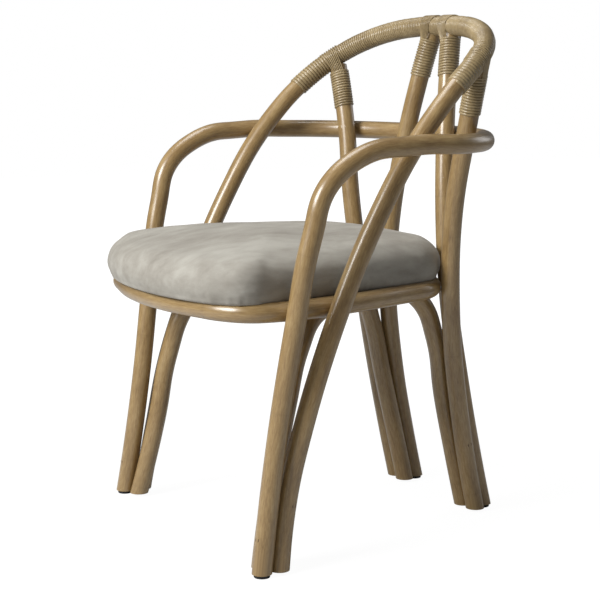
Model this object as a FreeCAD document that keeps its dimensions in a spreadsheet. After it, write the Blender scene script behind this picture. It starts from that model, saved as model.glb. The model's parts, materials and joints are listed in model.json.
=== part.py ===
"""Cane armchair: bent round canes, bound with cane peel at the crown, and an upholstered seat.

The chair stands on the floor at z = 0, faces -Y, and is symmetric about the plane x = 0.
Left and right are those of the person who sits in it, so left is +X.
All sizes are in millimetres.
"""
import FreeCAD
import Part
import math
import os

Vector = FreeCAD.Vector

# Driving sizes: name, value and what it measures

SIZES = (
    ("cane_diameter", 30.0, "every bent cane of the frame"),
    ("joint_gap", 0.4, "left between two canes that lie against each other"),
    ("half_width", 275.0, "arm rail centreline at its widest, from the middle"),
    ("half_depth", 240.0, "measure for the depth of the frame, from the middle"),
    ("arm_height", 620.0, "level run of the arm rail, centreline"),
    ("crown_height", 798.0, "top of the back hoop, centreline"),
    ("ring_height", 382.5, "seat ring, centreline"),
    ("ring_half_width", 228.0, "seat ring centreline at its widest"),
    ("ring_front", 306.0, "seat ring centreline in front of the middle"),
    ("ring_back", 158.0, "seat ring centreline behind the middle"),
    ("arch_drop", 1.0, "top run of a leg arch below the ring's level"),
    ("spindle_set_back", 4.0, "spindle ends behind the hoop's centreline"),
    ("trim_size", 800.0, "block that cuts the feet level"),
    ("glide_thickness", 3.0, "foot glide"),
    ("glide_diameter", 24.0, "foot glide"),
    ("glide_edge", 0.8, "rounding of the glide's lower rim"),
    ("nail_diameter", 3.0, "glide nail shank"),
    ("nail_head_diameter", 7.0, "glide nail head"),
    ("nail_head_thickness", 1.2, "glide nail head"),
    ("nail_length", 16.0, "glide nail under its head"),
    ("fit_gap", 0.15, "round a screw, nail or plug in its hole"),
    ("screw_diameter", 4.0, "frame screw shank"),
    ("screw_head_diameter", 8.0, "frame screw head"),
    ("screw_head_height", 3.0, "countersunk part of the head"),
    ("screw_length", 45.0, "frame screw, head included"),
    ("screw_sink", 2.2, "head below the cane's surface"),
    ("seat_screw_length", 31.0, "screw from a leg arch into the seat board"),
    ("bound_diameter", 33.5, "cane with its binding"),
    ("peel_diameter", 3.6, "strand of cane peel in the windings"),
    ("peel_pitch", 4.2, "from one turn of a spindle's winding to the next"),
    ("hoop_peel_pitch", 4.6, "from one turn to the next on the bent hoop"),
    ("peel_gap", 0.15, "between the peel and the cane under it"),
    ("spindle_turns", 13.0, "turns in the binding of a spindle"),
    ("hoop_turns", 12.0, "separate turns at each end of the crown binding"),
    ("crown_bound_half_length", 325.0, "bound length of the hoop from the crown down one side"),
    ("saddle_strand_diameter", 2.8, "strand that ties a spindle over the hoop"),
    ("saddle_pitch", 3.5, "from one saddle strand to the next"),
    ("saddle_strands", 8.0, "strands over each spindle joint"),
    ("saddle_wrap_angle", 210.0, "degrees of the hoop's girth that a strand covers"),
    ("saddle_drop", 13.0, "from the crown binding down to the first spindle turn"),
    ("seat_rest_gap", 0.3, "cushion above the frame"),
    ("cushion_thickness", 84.0, "cushion from its base to the top of its crown"),
    ("cushion_overhang", 22.0, "cushion in front of the ring centreline"),
    ("cushion_edge", 42.0, "width of the rounded edge at the cushion's top"),
    ("cushion_tuck", 20.0, "width of the rounded edge at the cushion's base"),
    ("cover_thickness", 1.6, "velvet cover with its lining"),
    ("cover_gap", 0.3, "between cover, foam and board"),
    ("board_thickness", 9.0, "plywood seat board"),
    ("board_inset", 23.5, "board edge inside the cushion's widest line"),
    ("cover_turn_under", 22.0, "cover that is drawn in under the board"),
    ("cloth_thickness", 0.8, "dust cloth over the opening under the board"),
)

doc = FreeCAD.newDocument("cane_armchair")
sheet = doc.addObject("Spreadsheet::Sheet", "sizes")
for row, (alias, value, note) in enumerate(SIZES, start=1):
    sheet.set("A%d" % row, alias)
    sheet.set("B%d" % row, str(value))
    sheet.set("C%d" % row, note)
    sheet.setAlias("B%d" % row, alias)
doc.recompute()


def size(alias):
    """Read one size from the sheet."""
    return float(sheet.get(alias))


cane_radius = size("cane_diameter") / 2
touching = size("cane_diameter") + size("joint_gap")
bound_radius = size("bound_diameter") / 2
ring_height = size("ring_height")
arm_height = size("arm_height")
UP = Vector(0, 0, 1)
LEFT = Vector(1, 0, 0)


# Centrelines of the canes


def mirrored(point):
    """The same place on the other side of the chair."""
    return Vector(-point.x, point.y, point.z)


def unit(vector):
    """A copy of the vector with length one."""
    return Vector(vector).normalize()


def square_to(vector, axis):
    """The part of the vector that is square to a unit axis, with length one."""
    return unit(vector - axis * vector.dot(axis))


def arc_or_line(start, way, end):
    """The edge that leaves start in the direction way and ends at end."""
    chord = end - start
    along = unit(chord)
    lean = way - along * way.dot(along)
    if lean.Length < 1e-7:
        return Part.LineSegment(start, end).toShape()
    turn = math.acos(max(-1.0, min(1.0, way.dot(along))))
    middle = start + chord / 2 + unit(lean) * (chord.Length / 2 * math.tan(turn / 2))
    return Part.Arc(start, middle, end).toShape()


def biarc(start, start_way, end, end_way):
    """Two tangent arcs from start to end with the given directions at both ends."""
    chord = end - start
    both = start_way + end_way
    square = 2 * (1 - start_way.dot(end_way))
    linear = 2 * chord.dot(both)
    constant = -chord.dot(chord)
    if square < 1e-9:
        reach = -constant / linear
    else:
        reach = (math.sqrt(linear * linear - 4 * square * constant) - linear) / (2 * square)
    joint = (start + start_way * reach + end - end_way * reach) / 2
    first = arc_or_line(start, start_way, joint)
    second = arc_or_line(joint, unit(joint_way(start, start_way, joint)), end)
    return [first, second]


def joint_way(start, way, end):
    """Direction at the end of the arc that leaves start in the direction way."""
    along = unit(end - start)
    return along * (2 * way.dot(along)) - way


def station_ways(points, closed):
    """A smooth direction for each station, from the circle through it and its neighbours."""
    count = len(points)
    ways = []
    for index, point in enumerate(points):
        if not closed and index in (0, count - 1):
            ways.append(None)
            continue
        before = point - points[index - 1]
        after = points[(index + 1) % count] - point
        ways.append(unit(before / before.Length ** 2 + after / after.Length ** 2))
    if not closed:
        ways[0] = joint_way(points[1], ways[1] * -1, points[0]) * -1
        ways[-1] = joint_way(points[-2], ways[-2], points[-1])
    return ways


# Steps of a first search along a route, and of the narrowing that follows it.
SEARCH_STEPS = 60
HALVINGS = 48


class Path:
    """A centreline made of edges that run on smoothly from one to the next."""

    def __init__(self, edges):
        self.edges = edges
        self.starts = [0.0]
        for edge in edges:
            self.starts.append(self.starts[-1] + edge.Length)
        self.length = self.starts[-1]

    def place(self, length):
        """Point and direction at a length along the route."""
        length = max(0.0, min(self.length, length))
        index = 0
        while index < len(self.edges) - 1 and self.starts[index + 1] < length:
            index += 1
        edge = self.edges[index]
        share = min(1.0, max(0.0, (length - self.starts[index]) / edge.Length))
        parameter = edge.FirstParameter + (edge.LastParameter - edge.FirstParameter) * share
        return edge.valueAt(parameter), unit(edge.tangentAt(parameter))

    def wire(self, start=0.0, end=None):
        """The stretch of the route between two lengths, as a wire."""
        end = self.length if end is None else end
        pieces = []
        for edge, edge_start in zip(self.edges, self.starts):
            low = max(start - edge_start, 0.0) / edge.Length
            high = min(end - edge_start, edge.Length) / edge.Length
            if high - low < 1e-6:
                continue
            span = edge.LastParameter - edge.FirstParameter
            first = edge.FirstParameter + span * low
            second = edge.FirstParameter + span * high
            pieces.append(edge.Curve.toShape(first, second))
        return Part.Wire(pieces)

    def nearest(self, point, low=0.0, high=None):
        """Length along the route at its nearest place to a point."""
        high = self.length if high is None else high
        step = (high - low) / SEARCH_STEPS
        lengths = [low + step * index for index in range(SEARCH_STEPS + 1)]
        best = min(lengths, key=lambda length: (self.place(length)[0] - point).Length)
        low = max(low, best - step)
        high = min(high, best + step)
        for _ in range(HALVINGS):
            first = low + (high - low) / 3
            second = high - (high - low) / 3
            if (self.place(first)[0] - point).Length < (self.place(second)[0] - point).Length:
                high = second
            else:
                low = first
        return (low + high) / 2

    def where(self, measure, target, low=0.0, high=None):
        """Length along the route at which measure(point) reaches the target."""
        high = self.length if high is None else high
        rising = measure(self.place(high)[0]) > measure(self.place(low)[0])
        for _ in range(HALVINGS):
            middle = (low + high) / 2
            if (measure(self.place(middle)[0]) < target) == rising:
                low = middle
            else:
                high = middle
        return (low + high) / 2


class Route(Path):
    """The centreline of a bent cane: tangent arcs through its stations."""

    def __init__(self, stations, closed=False, foot_run=0.0, end_run=0.0):
        """Make the edges, with straight runs added before and after an open route."""
        self.points = [Vector(station) for station in stations]
        self.ways = station_ways(self.points, closed)
        self.end_run = end_run
        edges = []
        last = len(self.points) if closed else len(self.points) - 1
        for index in range(last):
            after = (index + 1) % len(self.points)
            edges += biarc(self.points[index], self.ways[index], self.points[after], self.ways[after])
        if foot_run > 0:
            below = self.points[0] - self.ways[0] * foot_run
            edges.insert(0, Part.LineSegment(below, self.points[0]).toShape())
        if end_run > 0:
            beyond = self.points[-1] + self.ways[-1] * end_run
            edges.append(Part.LineSegment(self.points[-1], beyond).toShape())
        super().__init__(edges)

    def at_height(self, height):
        """Length along the route at a height, on the way up from the first foot."""
        return self.where(lambda point: point.z, height, 0.0, self.rise_end())

    def rise_end(self):
        """Length along the route at its highest station."""
        highest = max(self.points, key=lambda point: point.z)
        return self.nearest(highest)


def beside(route, height, bearing, spread, floor_level):
    """Place for a cane that lies against a route at a height, on the side of a bearing.

    The bearing is in degrees from +X towards +Y, and spread is the space between the
    canes beyond the joint gap.
    """
    point, way = route.place(route.at_height(height))
    angle = math.radians(bearing)
    side = square_to(Vector(math.cos(angle), math.sin(angle), 0), way)
    place = point + side * (touching + spread)
    return place + way * ((floor_level - place.z) / way.z)


def crossing(point, way, other_way, inward):
    """Place for a cane that crosses another at a point, on its inward side."""
    normal = unit(way.cross(other_way))
    if normal.dot(inward) < 0:
        normal = normal * -1
    return point + normal * touching


def level_crossing(point, way, other_way, inward):
    """As crossing, for a cane that stays in the level plane of the point."""
    normal = unit(way.cross(other_way))
    flat = square_to(inward, other_way)
    flat = unit(Vector(flat.x, flat.y, 0))
    return point + flat * (touching / abs(flat.dot(normal)))


# Shares of half_width, half_depth and arm_height or crown_height, from the foot up
ARM_SHARES = (
    (0.927, -1.008, 0.0),
    (0.898, -0.888, 0.3226),
    (0.931, -0.792, 0.584),
    (0.971, -0.7125, 0.782),
    (0.988, -0.6, 0.9145),
    (0.9905, -0.358, 0.981),
    (1.0, -0.004, 1.0),
    (0.969, 0.3875, 1.0),
    (0.8727, 0.5767, 1.0),
    (0.7273, 0.7313, 1.0),
    (0.5818, 0.8283, 1.0),
    (0.4182, 0.9, 1.0),
    (0.2182, 0.953, 1.0),
    (0.0, 0.973, 1.0),
)
HOOP_LEG_SHARES = (
    (0.898, -0.683, 0.2904),
    (0.895, -0.491, 0.4513),
    (0.897, -0.2504, 0.6136),
)
HOOP_CROWN_SHARES = (
    (0.8527, 0.3796, 0.8759),
    (0.798, 0.59, 0.9273),
    (0.7273, 0.7071, 0.9536),
    (0.5818, 0.8142, 0.9778),
    (0.4182, 0.879, 0.9915),
    (0.2182, 0.924, 0.9986),
    (0.0, 0.94, 1.0),
)
SPINDLE_OUTER_SHARES = (
    (0.4416, 0.9615, 0.0),
    (0.449, 0.819, 0.185),
    (0.4814, 0.6938, 0.401),
    (0.5788, 0.6215, 0.6504),
)
SPINDLE_INNER_SHARES = (
    (0.331, 0.773, 0.4766),
    (0.2815, 0.7758, 0.6266),
)
arm_level_share = 0.95
hoop_cross_depth_share = 0.08
hoop_cross_way_shares = (-0.05, 0.6, 0.8)
spindle_outer_cross_share = 0.72
spindle_inner_cross_share = 0.227
spindle_outer_top_share = 0.785
spindle_inner_top_share = 0.091


def scaled(shares, top_height):
    """Stations from shares of the frame's half width, half depth and a height."""
    return [
        Vector(across * size("half_width"), depth * size("half_depth"), rise * top_height)
        for across, depth, rise in shares
    ]


def two_sided(half):
    """A route's stations on both sides, from those of the left half, the last in the middle."""
    return half + [mirrored(point) for point in reversed(half[:-1])]


run = size("cane_diameter")
crown_height = size("crown_height")
arm_route = Route(two_sided(scaled(ARM_SHARES, arm_height)), foot_run=run, end_run=run)


def arm_at_depth(depth):
    """Point and direction of the left arm at a depth, on its level run."""
    low = arm_route.at_height(arm_height * arm_level_share)
    length = arm_route.where(lambda point: point.y, depth, low, arm_route.length / 2)
    return arm_route.place(length)


def arm_at_across(across):
    """Point and direction of the arm rail behind the seat, at a distance from the middle."""
    low = arm_route.at_height(arm_height * arm_level_share)
    length = arm_route.where(lambda point: point.x, across, low, arm_route.length / 2)
    return arm_route.place(length)


def cane_crossing(arm_place, way):
    """Where a cane of the back passes inside the arm rail."""
    point, arm_way = arm_place
    return crossing(point, arm_way, way, Vector(-point.x, -point.y, 0))


# The back hoop stands behind the arm rail at the feet and passes inside it at the arms.
hoop_cross_way = unit(Vector(*hoop_cross_way_shares))
hoop_cross = cane_crossing(arm_at_depth(hoop_cross_depth_share * size("half_depth")), hoop_cross_way)
HOOP_BEARING_ANGLES = (95, 99)
hoop_low_share = 0.139
leg_spread_share = 0.09
leg_spread = leg_spread_share * size("cane_diameter")
hoop_foot_angle, hoop_low_angle = HOOP_BEARING_ANGLES
hoop_foot = beside(arm_route, 0, hoop_foot_angle, 0, 0)
hoop_low_height = hoop_low_share * crown_height
hoop_low = beside(arm_route, hoop_low_height, hoop_low_angle, leg_spread, hoop_low_height)
hoop_half = [hoop_foot, hoop_low] + scaled(HOOP_LEG_SHARES, crown_height)
hoop_half += [hoop_cross] + scaled(HOOP_CROWN_SHARES, crown_height)
hoop_route = Route(two_sided(hoop_half), foot_run=run, end_run=run)


def hoop_length_at(across):
    """Length along the hoop at a distance from the middle, above the left arm."""
    low = hoop_route.nearest(scaled(HOOP_CROWN_SHARES, crown_height)[0])
    return hoop_route.where(lambda point: point.x, across, low, hoop_route.length / 2)


# The spindles run from the rear feet, inside the arm rail, up to the hoop.
set_back = Vector(0, size("spindle_set_back"), 0)
outer_top_length = hoop_length_at(spindle_outer_top_share * size("half_width"))
outer_low = scaled(SPINDLE_OUTER_SHARES, crown_height)
outer_top = hoop_route.place(outer_top_length)[0] + set_back
outer_place = arm_at_across(spindle_outer_cross_share * size("half_width"))
outer_cross = cane_crossing(outer_place, unit(outer_top - outer_low[-1]))
outer_route = Route(outer_low + [outer_cross, outer_top], foot_run=run)

inner_top_length = hoop_length_at(spindle_inner_top_share * size("half_width"))
inner_top = hoop_route.place(inner_top_length)[0] + set_back
inner_place = arm_at_across(spindle_inner_cross_share * size("half_width"))
inner_high = scaled(SPINDLE_INNER_SHARES, crown_height)
inner_cross = cane_crossing(inner_place, unit(inner_top - inner_high[-1]))
BUNDLE_SHARES = ((0.0, 0.0), (0.125, 0.03), (0.235, 0.09))
INNER_BEARING_ANGLES = (124, 127, 133)
inner_low = [
    beside(outer_route, rise * crown_height, bearing, spread * size("cane_diameter"), rise * crown_height)
    for (rise, spread), bearing in zip(BUNDLE_SHARES, INNER_BEARING_ANGLES)
]
inner_route = Route(inner_low + inner_high + [inner_cross, inner_top], foot_run=run)

# The seat ring lies level inside the legs and touches each cane that rises past it.
RING_FRONT_SHARES = (
    (0.0, -1.0),
    (0.316, -0.983),
    (0.597, -0.935),
    (0.803, -0.886),
    (0.9386, -0.807),
)
RING_SIDE_SHARES = ((0.772, 0.065),)
FIRST_RING_WAY_SHARES = ((0.06, 1.0), (-0.2, 0.98), (-0.62, 0.78), (-1.0, 0.06))


def ring_contact(route, ring_way):
    """Where the ring's centreline passes inside a cane, when it runs in the given direction."""
    point, way = route.place(route.at_height(ring_height))
    return level_crossing(point, way, ring_way, UP.cross(ring_way))


def ring_places(shares):
    """Stations of the ring from shares of its half width and its front reach."""
    return [
        Vector(across * size("ring_half_width"), depth * size("ring_front"), ring_height)
        for across, depth in shares
    ]


def ring_half_stations(ring_ways):
    """The ring's stations on the left half, from its directions at the four canes."""
    contacts = [
        ring_contact(route, way)
        for route, way in zip((arm_route, hoop_route, outer_route, inner_route), ring_ways)
    ]
    back = Vector(0, size("ring_back"), ring_height)
    front = ring_places(RING_FRONT_SHARES)
    sides = ring_places(RING_SIDE_SHARES)
    return front + contacts[:2] + sides + contacts[2:] + [back]


def closed_ring(half):
    """The whole ring from its left half."""
    return Route(half + [mirrored(point) for point in reversed(half[1:-1])], closed=True)


# The ring's direction at each cane depends on where the ring passes, so it is settled in rounds.
front_count = len(RING_FRONT_SHARES)
side_count = len(RING_SIDE_SHARES)
ring_contacts = [front_count, front_count + 1, front_count + 2 + side_count, front_count + 3 + side_count]
SETTLING_ROUNDS = 6
ring_ways = [unit(Vector(*shares, 0)) for shares in FIRST_RING_WAY_SHARES]
for _ in range(SETTLING_ROUNDS):
    ring_half = ring_half_stations(ring_ways)
    ring_route = closed_ring(ring_half)
    ring_ways = [ring_route.ways[index] for index in ring_contacts]


def ring_inside(depth_share, spread):
    """Place beside the ring, on its inner side, at a share of half_depth."""
    low = ring_route.nearest(ring_half[ring_contacts[1]], 0.0, ring_route.length / 2)
    high = ring_route.nearest(ring_half[ring_contacts[2]], 0.0, ring_route.length / 2)
    target = depth_share * size("half_depth")
    point, way = ring_route.place(ring_route.where(lambda place: place.y, target, low, high))
    return point + way.cross(UP) * -(touching + spread) - UP * size("arch_drop")


# Each leg arch rises inside the two other canes of a front leg, follows the ring on its
# inner side and comes down inside the two spindles of a rear leg.
joint_spread = size("joint_gap") / 2
ARCH_RING_SHARES = (0.26, 0.13, 0.0, -0.13, -0.26)
ARCH_BUNDLE_SHARES = ((0.2608, 0.03), (0.4903, 0.09))
ARCH_BEARING_ANGLES = (187, 193)
ARCH_REAR_SHARES = ((0.356, 0.654, 0.7803), (0.352, 0.583, 0.8971), (0.36, 0.46, 0.9722))
ARCH_FRONT_SHARES = ((0.687, -0.508, 0.9493), (0.7345, -0.642, 0.8262), (0.767, -0.742, 0.628))
arch_low_share = 0.3526
arch_low_angle = 201


def third_foot(first_route, second_route, inward):
    """Foot of the cane that lies against two others of a bundle."""
    first = first_route.place(first_route.at_height(0))
    second = second_route.place(second_route.at_height(0))
    way = unit(first[1] + second[1])
    apart = square_to(second[0] - first[0], way)
    side = unit(way.cross(apart))
    if side.dot(inward) < 0:
        side = side * -1
    half_apart = (second[0] - first[0]).Length / 2
    rise = math.sqrt((touching + joint_spread) ** 2 - half_apart ** 2)
    place = (first[0] + second[0]) / 2 + side * rise
    return place - way * (place.z / way.z)


arch_half = [third_foot(outer_route, inner_route, LEFT * -1)]
for (rise, spread), bearing in zip(ARCH_BUNDLE_SHARES, ARCH_BEARING_ANGLES):
    height = rise * ring_height
    arch_half.append(beside(outer_route, height, bearing, spread * size("cane_diameter"), height))
arch_half += scaled(ARCH_REAR_SHARES, ring_height)
arch_half += [ring_inside(share, joint_spread) for share in ARCH_RING_SHARES]
arch_half += scaled(ARCH_FRONT_SHARES, ring_height)
arch_low_height = arch_low_share * ring_height
arch_half.append(beside(hoop_route, arch_low_height, arch_low_angle, leg_spread, arch_low_height))
arch_half.append(third_foot(arm_route, hoop_route, LEFT * -1))
arch_route = Route(arch_half, foot_run=run, end_run=run)


# Solids


def feature(label, shape):
    """A document object that carries a finished shape."""
    item = doc.addObject("Part::Feature", label)
    item.Label = label
    item.Shape = shape
    item.Placement = FreeCAD.Placement()
    return item


def section(label, alias, scale, place):
    """A round section, square to a route at a place, that follows a diameter of the sheet."""
    point, way = place
    circle = doc.addObject("Part::Circle", label)
    circle.setExpression("Radius", "sizes.%s * %s" % (alias, scale))
    circle.Placement = FreeCAD.Placement(point, FreeCAD.Rotation(UP, way))
    return circle


def rod(label, route, alias, scale="0.5", start=0.0, end=None):
    """A round bar along a stretch of a route, whose radius follows the sheet."""
    path = feature(label + "_path", route.wire(start, end))
    sweep = doc.addObject("Part::Sweep", label)
    sweep.Sections = [section(label + "_section", alias, scale, route.place(start))]
    sweep.Spine = (path, [])
    sweep.Solid = True
    sweep.Frenet = False
    return sweep


def fused(label, items):
    """One solid from several that share faces or overlap."""
    item = doc.addObject("Part::MultiFuse", label)
    item.Shapes = items
    return item


def less(label, base, tool):
    """The base with the tool cut away."""
    item = doc.addObject("Part::Cut", label)
    item.Base = base
    item.Tool = tool
    return item


nodes = []


def node(item, label):
    """Record a finished sub-part under its name."""
    item.Label = label
    nodes.append(item)
    return item


SIDES = (("left", 1), ("right", -1))


def side_point(point, side):
    """A left-hand place on either side of the chair."""
    return Vector(point.x * side, point.y, point.z)


def side_route(route, side):
    """A left-hand open route on either side of the chair."""
    if side > 0:
        return route
    return Route([mirrored(point) for point in route.points], foot_run=run, end_run=route.end_run)


# Screws: each joint is a head place, a direction into the wood and the canes it passes.


class Joint:
    """A screw's place and the names of the pieces that it passes through."""

    def __init__(self, head, way, pieces, length, kind):
        self.head = head
        self.way = way
        self.pieces = pieces
        self.length = length
        self.kind = kind


joints = []


def add_joint(kind, first_name, first_route, second_name, second_route, length):
    """A screw from one cane's far side, through it and into the cane that it touches.

    The place is the nearest pair of points of the two routes, searched from a length
    along the first route.
    """
    for _ in range(4):
        first = first_route.place(length)[0]
        second = second_route.place(second_route.nearest(first))[0]
        if kind == "leg":
            break
        length = first_route.nearest(second)
    way = unit(second - first)
    head = first - way * (cane_radius - size("screw_sink"))
    for side_name, side in SIDES:
        names = [name.replace("SIDE", side_name) for name in (first_name, second_name)]
        joints.append(
            Joint(side_point(head, side), side_point(way, side), names, size("screw_length"), kind)
        )


def add_leg_joint(first_name, first_route, second_name, second_route, rise_share):
    """A screw of a leg bundle at a share of the ring's height."""
    length = first_route.at_height(rise_share * ring_height)
    add_joint("leg", first_name, first_route, second_name, second_route, length)


reverse_arch = Route(list(reversed(arch_half)), foot_run=run, end_run=run)
add_leg_joint("back_hoop", hoop_route, "leg_arch_SIDE", reverse_arch, 0.26)
add_leg_joint("arm_rail", arm_route, "back_hoop", hoop_route, 0.14)
add_leg_joint("spindle_outer_SIDE", outer_route, "leg_arch_SIDE", arch_route, 0.31)
add_leg_joint("spindle_inner_SIDE", inner_route, "spindle_outer_SIDE", outer_route, 0.16)


def ring_length(index):
    """Length along the ring at one of its stations on the left half."""
    return ring_route.nearest(ring_half[index], 0.0, ring_route.length / 2)


RING_NEIGHBOURS = (
    ("arm_rail", arm_route),
    ("back_hoop", hoop_route),
    ("spindle_outer_SIDE", outer_route),
    ("spindle_inner_SIDE", inner_route),
)
for index, (name, route) in zip(ring_contacts, RING_NEIGHBOURS):
    add_joint("ring", "seat_ring", ring_route, name, route, ring_length(index))
ARCH_SCREW_SHARES = (0.09, -0.09)
for share in ARCH_SCREW_SHARES:
    place = ring_inside(share, joint_spread)
    add_joint("ring", "leg_arch_SIDE", arch_route, "seat_ring", ring_route, arch_route.nearest(place))
add_joint("arm", "back_hoop", hoop_route, "arm_rail", arm_route, hoop_route.nearest(hoop_cross))
add_joint("arm", "spindle_outer_SIDE", outer_route, "arm_rail", arm_route, outer_route.nearest(outer_cross))
add_joint("arm", "spindle_inner_SIDE", inner_route, "arm_rail", arm_route, inner_route.nearest(inner_cross))

# The seat screws pass up through the arches into the seat board.
SEAT_SCREW_SHARES = (0.24, -0.24)
for share in SEAT_SCREW_SHARES:
    centre = ring_inside(share, joint_spread)
    head = centre - UP * (cane_radius - size("screw_head_diameter"))
    for side_name, side in SIDES:
        pieces = ["leg_arch_" + side_name, "cushion_cover", "seat_board"]
        joints.append(Joint(side_point(head, side), Vector(UP), pieces, size("seat_screw_length"), "seat"))


def bar(point, way, radius, length):
    """A cylinder from a point in a direction."""
    return Part.makeCylinder(radius, length, point, way)


def screw_solid(joint):
    """A countersunk wood screw, its head at the joint's head place."""
    head_radius = size("screw_head_diameter") / 2
    shank_radius = size("screw_diameter") / 2
    cone_height = size("screw_head_height")
    tip = shank_radius * 2
    head = Part.makeCone(head_radius, shank_radius, cone_height, joint.head, joint.way)
    shank_start = joint.head + joint.way * cone_height
    shank_length = joint.length - cone_height - tip
    shank = bar(shank_start, joint.way, shank_radius, shank_length)
    point_start = shank_start + joint.way * shank_length
    point = Part.makeCone(shank_radius, shank_radius / 4, tip, point_start, joint.way)
    return head.multiFuse([shank, point]).removeSplitter()


def screw_hole(joint):
    """The hole for a screw, with its countersink and the recess over the head."""
    gap = size("fit_gap")
    head_radius = size("screw_head_diameter") / 2 + gap
    shank_radius = size("screw_diameter") / 2 + gap
    cone_height = size("screw_head_height")
    cone = Part.makeCone(head_radius, shank_radius, cone_height, joint.head, joint.way)
    shank = bar(joint.head, joint.way, shank_radius, joint.length + gap)
    recess = bar(joint.head, joint.way * -1, head_radius, cane_radius)
    return cone.multiFuse([shank, recess]).removeSplitter()


def plug_solid(joint):
    """Filler that closes the recess over a screw's head."""
    gap = size("fit_gap")
    depth = size("screw_sink") - 3 * gap
    return bar(joint.head - joint.way * gap, joint.way * -1, size("screw_head_diameter") / 2, depth)


def holes_for(name):
    """The cuts that the screws make in one piece."""
    return [screw_hole(joint) for joint in joints if name in joint.pieces]


# Level feet, their glides and nails

trim = doc.addObject("Part::Box", "floor_trim")
for side_of_box in ("Length", "Width", "Height"):
    trim.setExpression(side_of_box, "sizes.trim_size")
half_trim = size("trim_size") / 2
trim.Placement = FreeCAD.Placement(
    Vector(-half_trim, -half_trim, size("glide_thickness") - size("trim_size")), FreeCAD.Rotation()
)
glide_places = {}
for name, route in (("arm_rail", arm_route), ("spindle_inner_SIDE", inner_route)):
    foot = route.place(route.at_height(size("glide_thickness")))[0]
    for side_name, side in SIDES:
        place = side_point(Vector(foot.x, foot.y, 0), side)
        glide_places.setdefault(name.replace("SIDE", side_name), []).append(place)


def nail_hole(place):
    """Bore for a glide nail in the foot of a cane."""
    start = place + UP * (size("glide_thickness") / 2)
    return bar(start, UP, size("nail_diameter") / 2 + size("fit_gap"), size("nail_length") + size("fit_gap"))


def finish_cane(label, body):
    """Trim a cane's feet and make its holes."""
    cuts = holes_for(label)
    cuts += [nail_hole(place) for place in glide_places.get(label, ())]
    level = less(label + "_level", body, trim) if label != "seat_ring" else body
    if not cuts:
        return node(level, label)
    tool = feature(label + "_holes", Part.makeCompound(cuts))
    return node(less(label + "_bored", level, tool), label)


# Arm rail and back hoop, with the hoop's neck under its binding

finish_cane("arm_rail", rod("arm_rail_cane", arm_route, "cane_diameter"))

crown_middle = hoop_route.length / 2
bound_start = crown_middle - size("crown_bound_half_length")
bound_end = crown_middle + size("crown_bound_half_length")
NECK = "0.5 - sizes.peel_diameter - sizes.peel_gap"
COPE = NECK + " + sizes.joint_gap"
LINING = "0.5 - sizes.peel_diameter"
hoop_cane = fused(
    "hoop_cane",
    [
        rod("hoop_cane_left", hoop_route, "cane_diameter", start=0.0, end=bound_start),
        rod("hoop_neck", hoop_route, "bound_diameter", NECK, bound_start, bound_end),
        rod("hoop_cane_right", hoop_route, "cane_diameter", start=bound_end),
    ],
)
finish_cane("back_hoop", hoop_cane)

# Spindles: bound near the top, where a coped end fits the hoop's neck

hoop_reach = size("cane_diameter") * 2
winding_length = size("spindle_turns") * size("peel_pitch")
winding_top = bound_radius + size("saddle_drop")


def hoop_side_length(top_length, side):
    """Length along the hoop of a joint on either side of the chair."""
    return top_length if side > 0 else hoop_route.length - top_length


for family, route, top_length in (
    ("outer", outer_route, outer_top_length),
    ("inner", inner_route, inner_top_length),
):
    for side_name, side in SIDES:
        label = "spindle_%s_%s" % (family, side_name)
        own_route = side_route(route, side)
        neck_start = own_route.length - winding_top - winding_length - size("peel_diameter")
        stem = rod(label + "_stem", own_route, "cane_diameter", start=0.0, end=neck_start)
        neck = rod(label + "_neck", own_route, "bound_diameter", NECK, neck_start)
        joint_length = hoop_side_length(top_length, side)
        cope_start = joint_length - hoop_reach
        cope_end = joint_length + hoop_reach
        cope = rod(label + "_cope", hoop_route, "bound_diameter", COPE, cope_start, cope_end)
        finish_cane(label, less(label + "_coped", fused(label + "_cane", [stem, neck]), cope))

# Leg arches and seat ring

for side_name, side in SIDES:
    label = "leg_arch_" + side_name
    finish_cane(label, rod(label + "_cane", side_route(arch_route, side), "cane_diameter"))
finish_cane("seat_ring", rod("seat_ring_cane", ring_route, "cane_diameter"))


# Bindings of cane peel


def winding_path(route, start, turns, pitch):
    """A helix of quarter-turn biarcs round a route, with a straight run at each end."""
    radius = bound_radius - size("peel_diameter") / 2
    quarters = int(turns) * 4
    stops = []
    for quarter in range(quarters + 1):
        point, way = route.place(start + pitch * quarter / 4)
        side = square_to(LEFT, way)
        across = way.cross(side)
        angle = math.pi / 2 * quarter
        outward = side * math.cos(angle) + across * math.sin(angle)
        onward = across * math.cos(angle) - side * math.sin(angle)
        stops.append((point + outward * radius, unit(onward * radius + way * (pitch / (2 * math.pi)))))
    straight = size("peel_diameter")
    first, first_way = stops[0]
    last, last_way = stops[-1]
    edges = [Part.LineSegment(first - first_way * straight, first).toShape()]
    for (begin, begin_way), (end, end_way) in zip(stops, stops[1:]):
        edges += biarc(begin, begin_way, end, end_way)
    edges.append(Part.LineSegment(last, last + last_way * straight).toShape())
    return Path(edges)


def least_gap(path, diameter):
    """Least space between the turns of a winding, from points along it."""
    step = diameter / 2
    points = [path.place(step * index)[0] for index in range(int(path.length / step))]
    half_turn = int(math.pi * bound_radius / step)
    near = min(
        (first - second).Length
        for index, first in enumerate(points)
        for second in points[index + half_turn:index + 4 * half_turn]
    )
    return near - diameter


def winding(label, route, start, turns, pitch):
    """One unbroken tube of peel round a bound stretch of cane."""
    path = winding_path(route, start, turns, pitch)
    print(label, "least gap to itself", round(least_gap(path, size("peel_diameter")), 2))
    return node(rod(label + "_tube", path, "peel_diameter"), label)


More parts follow.
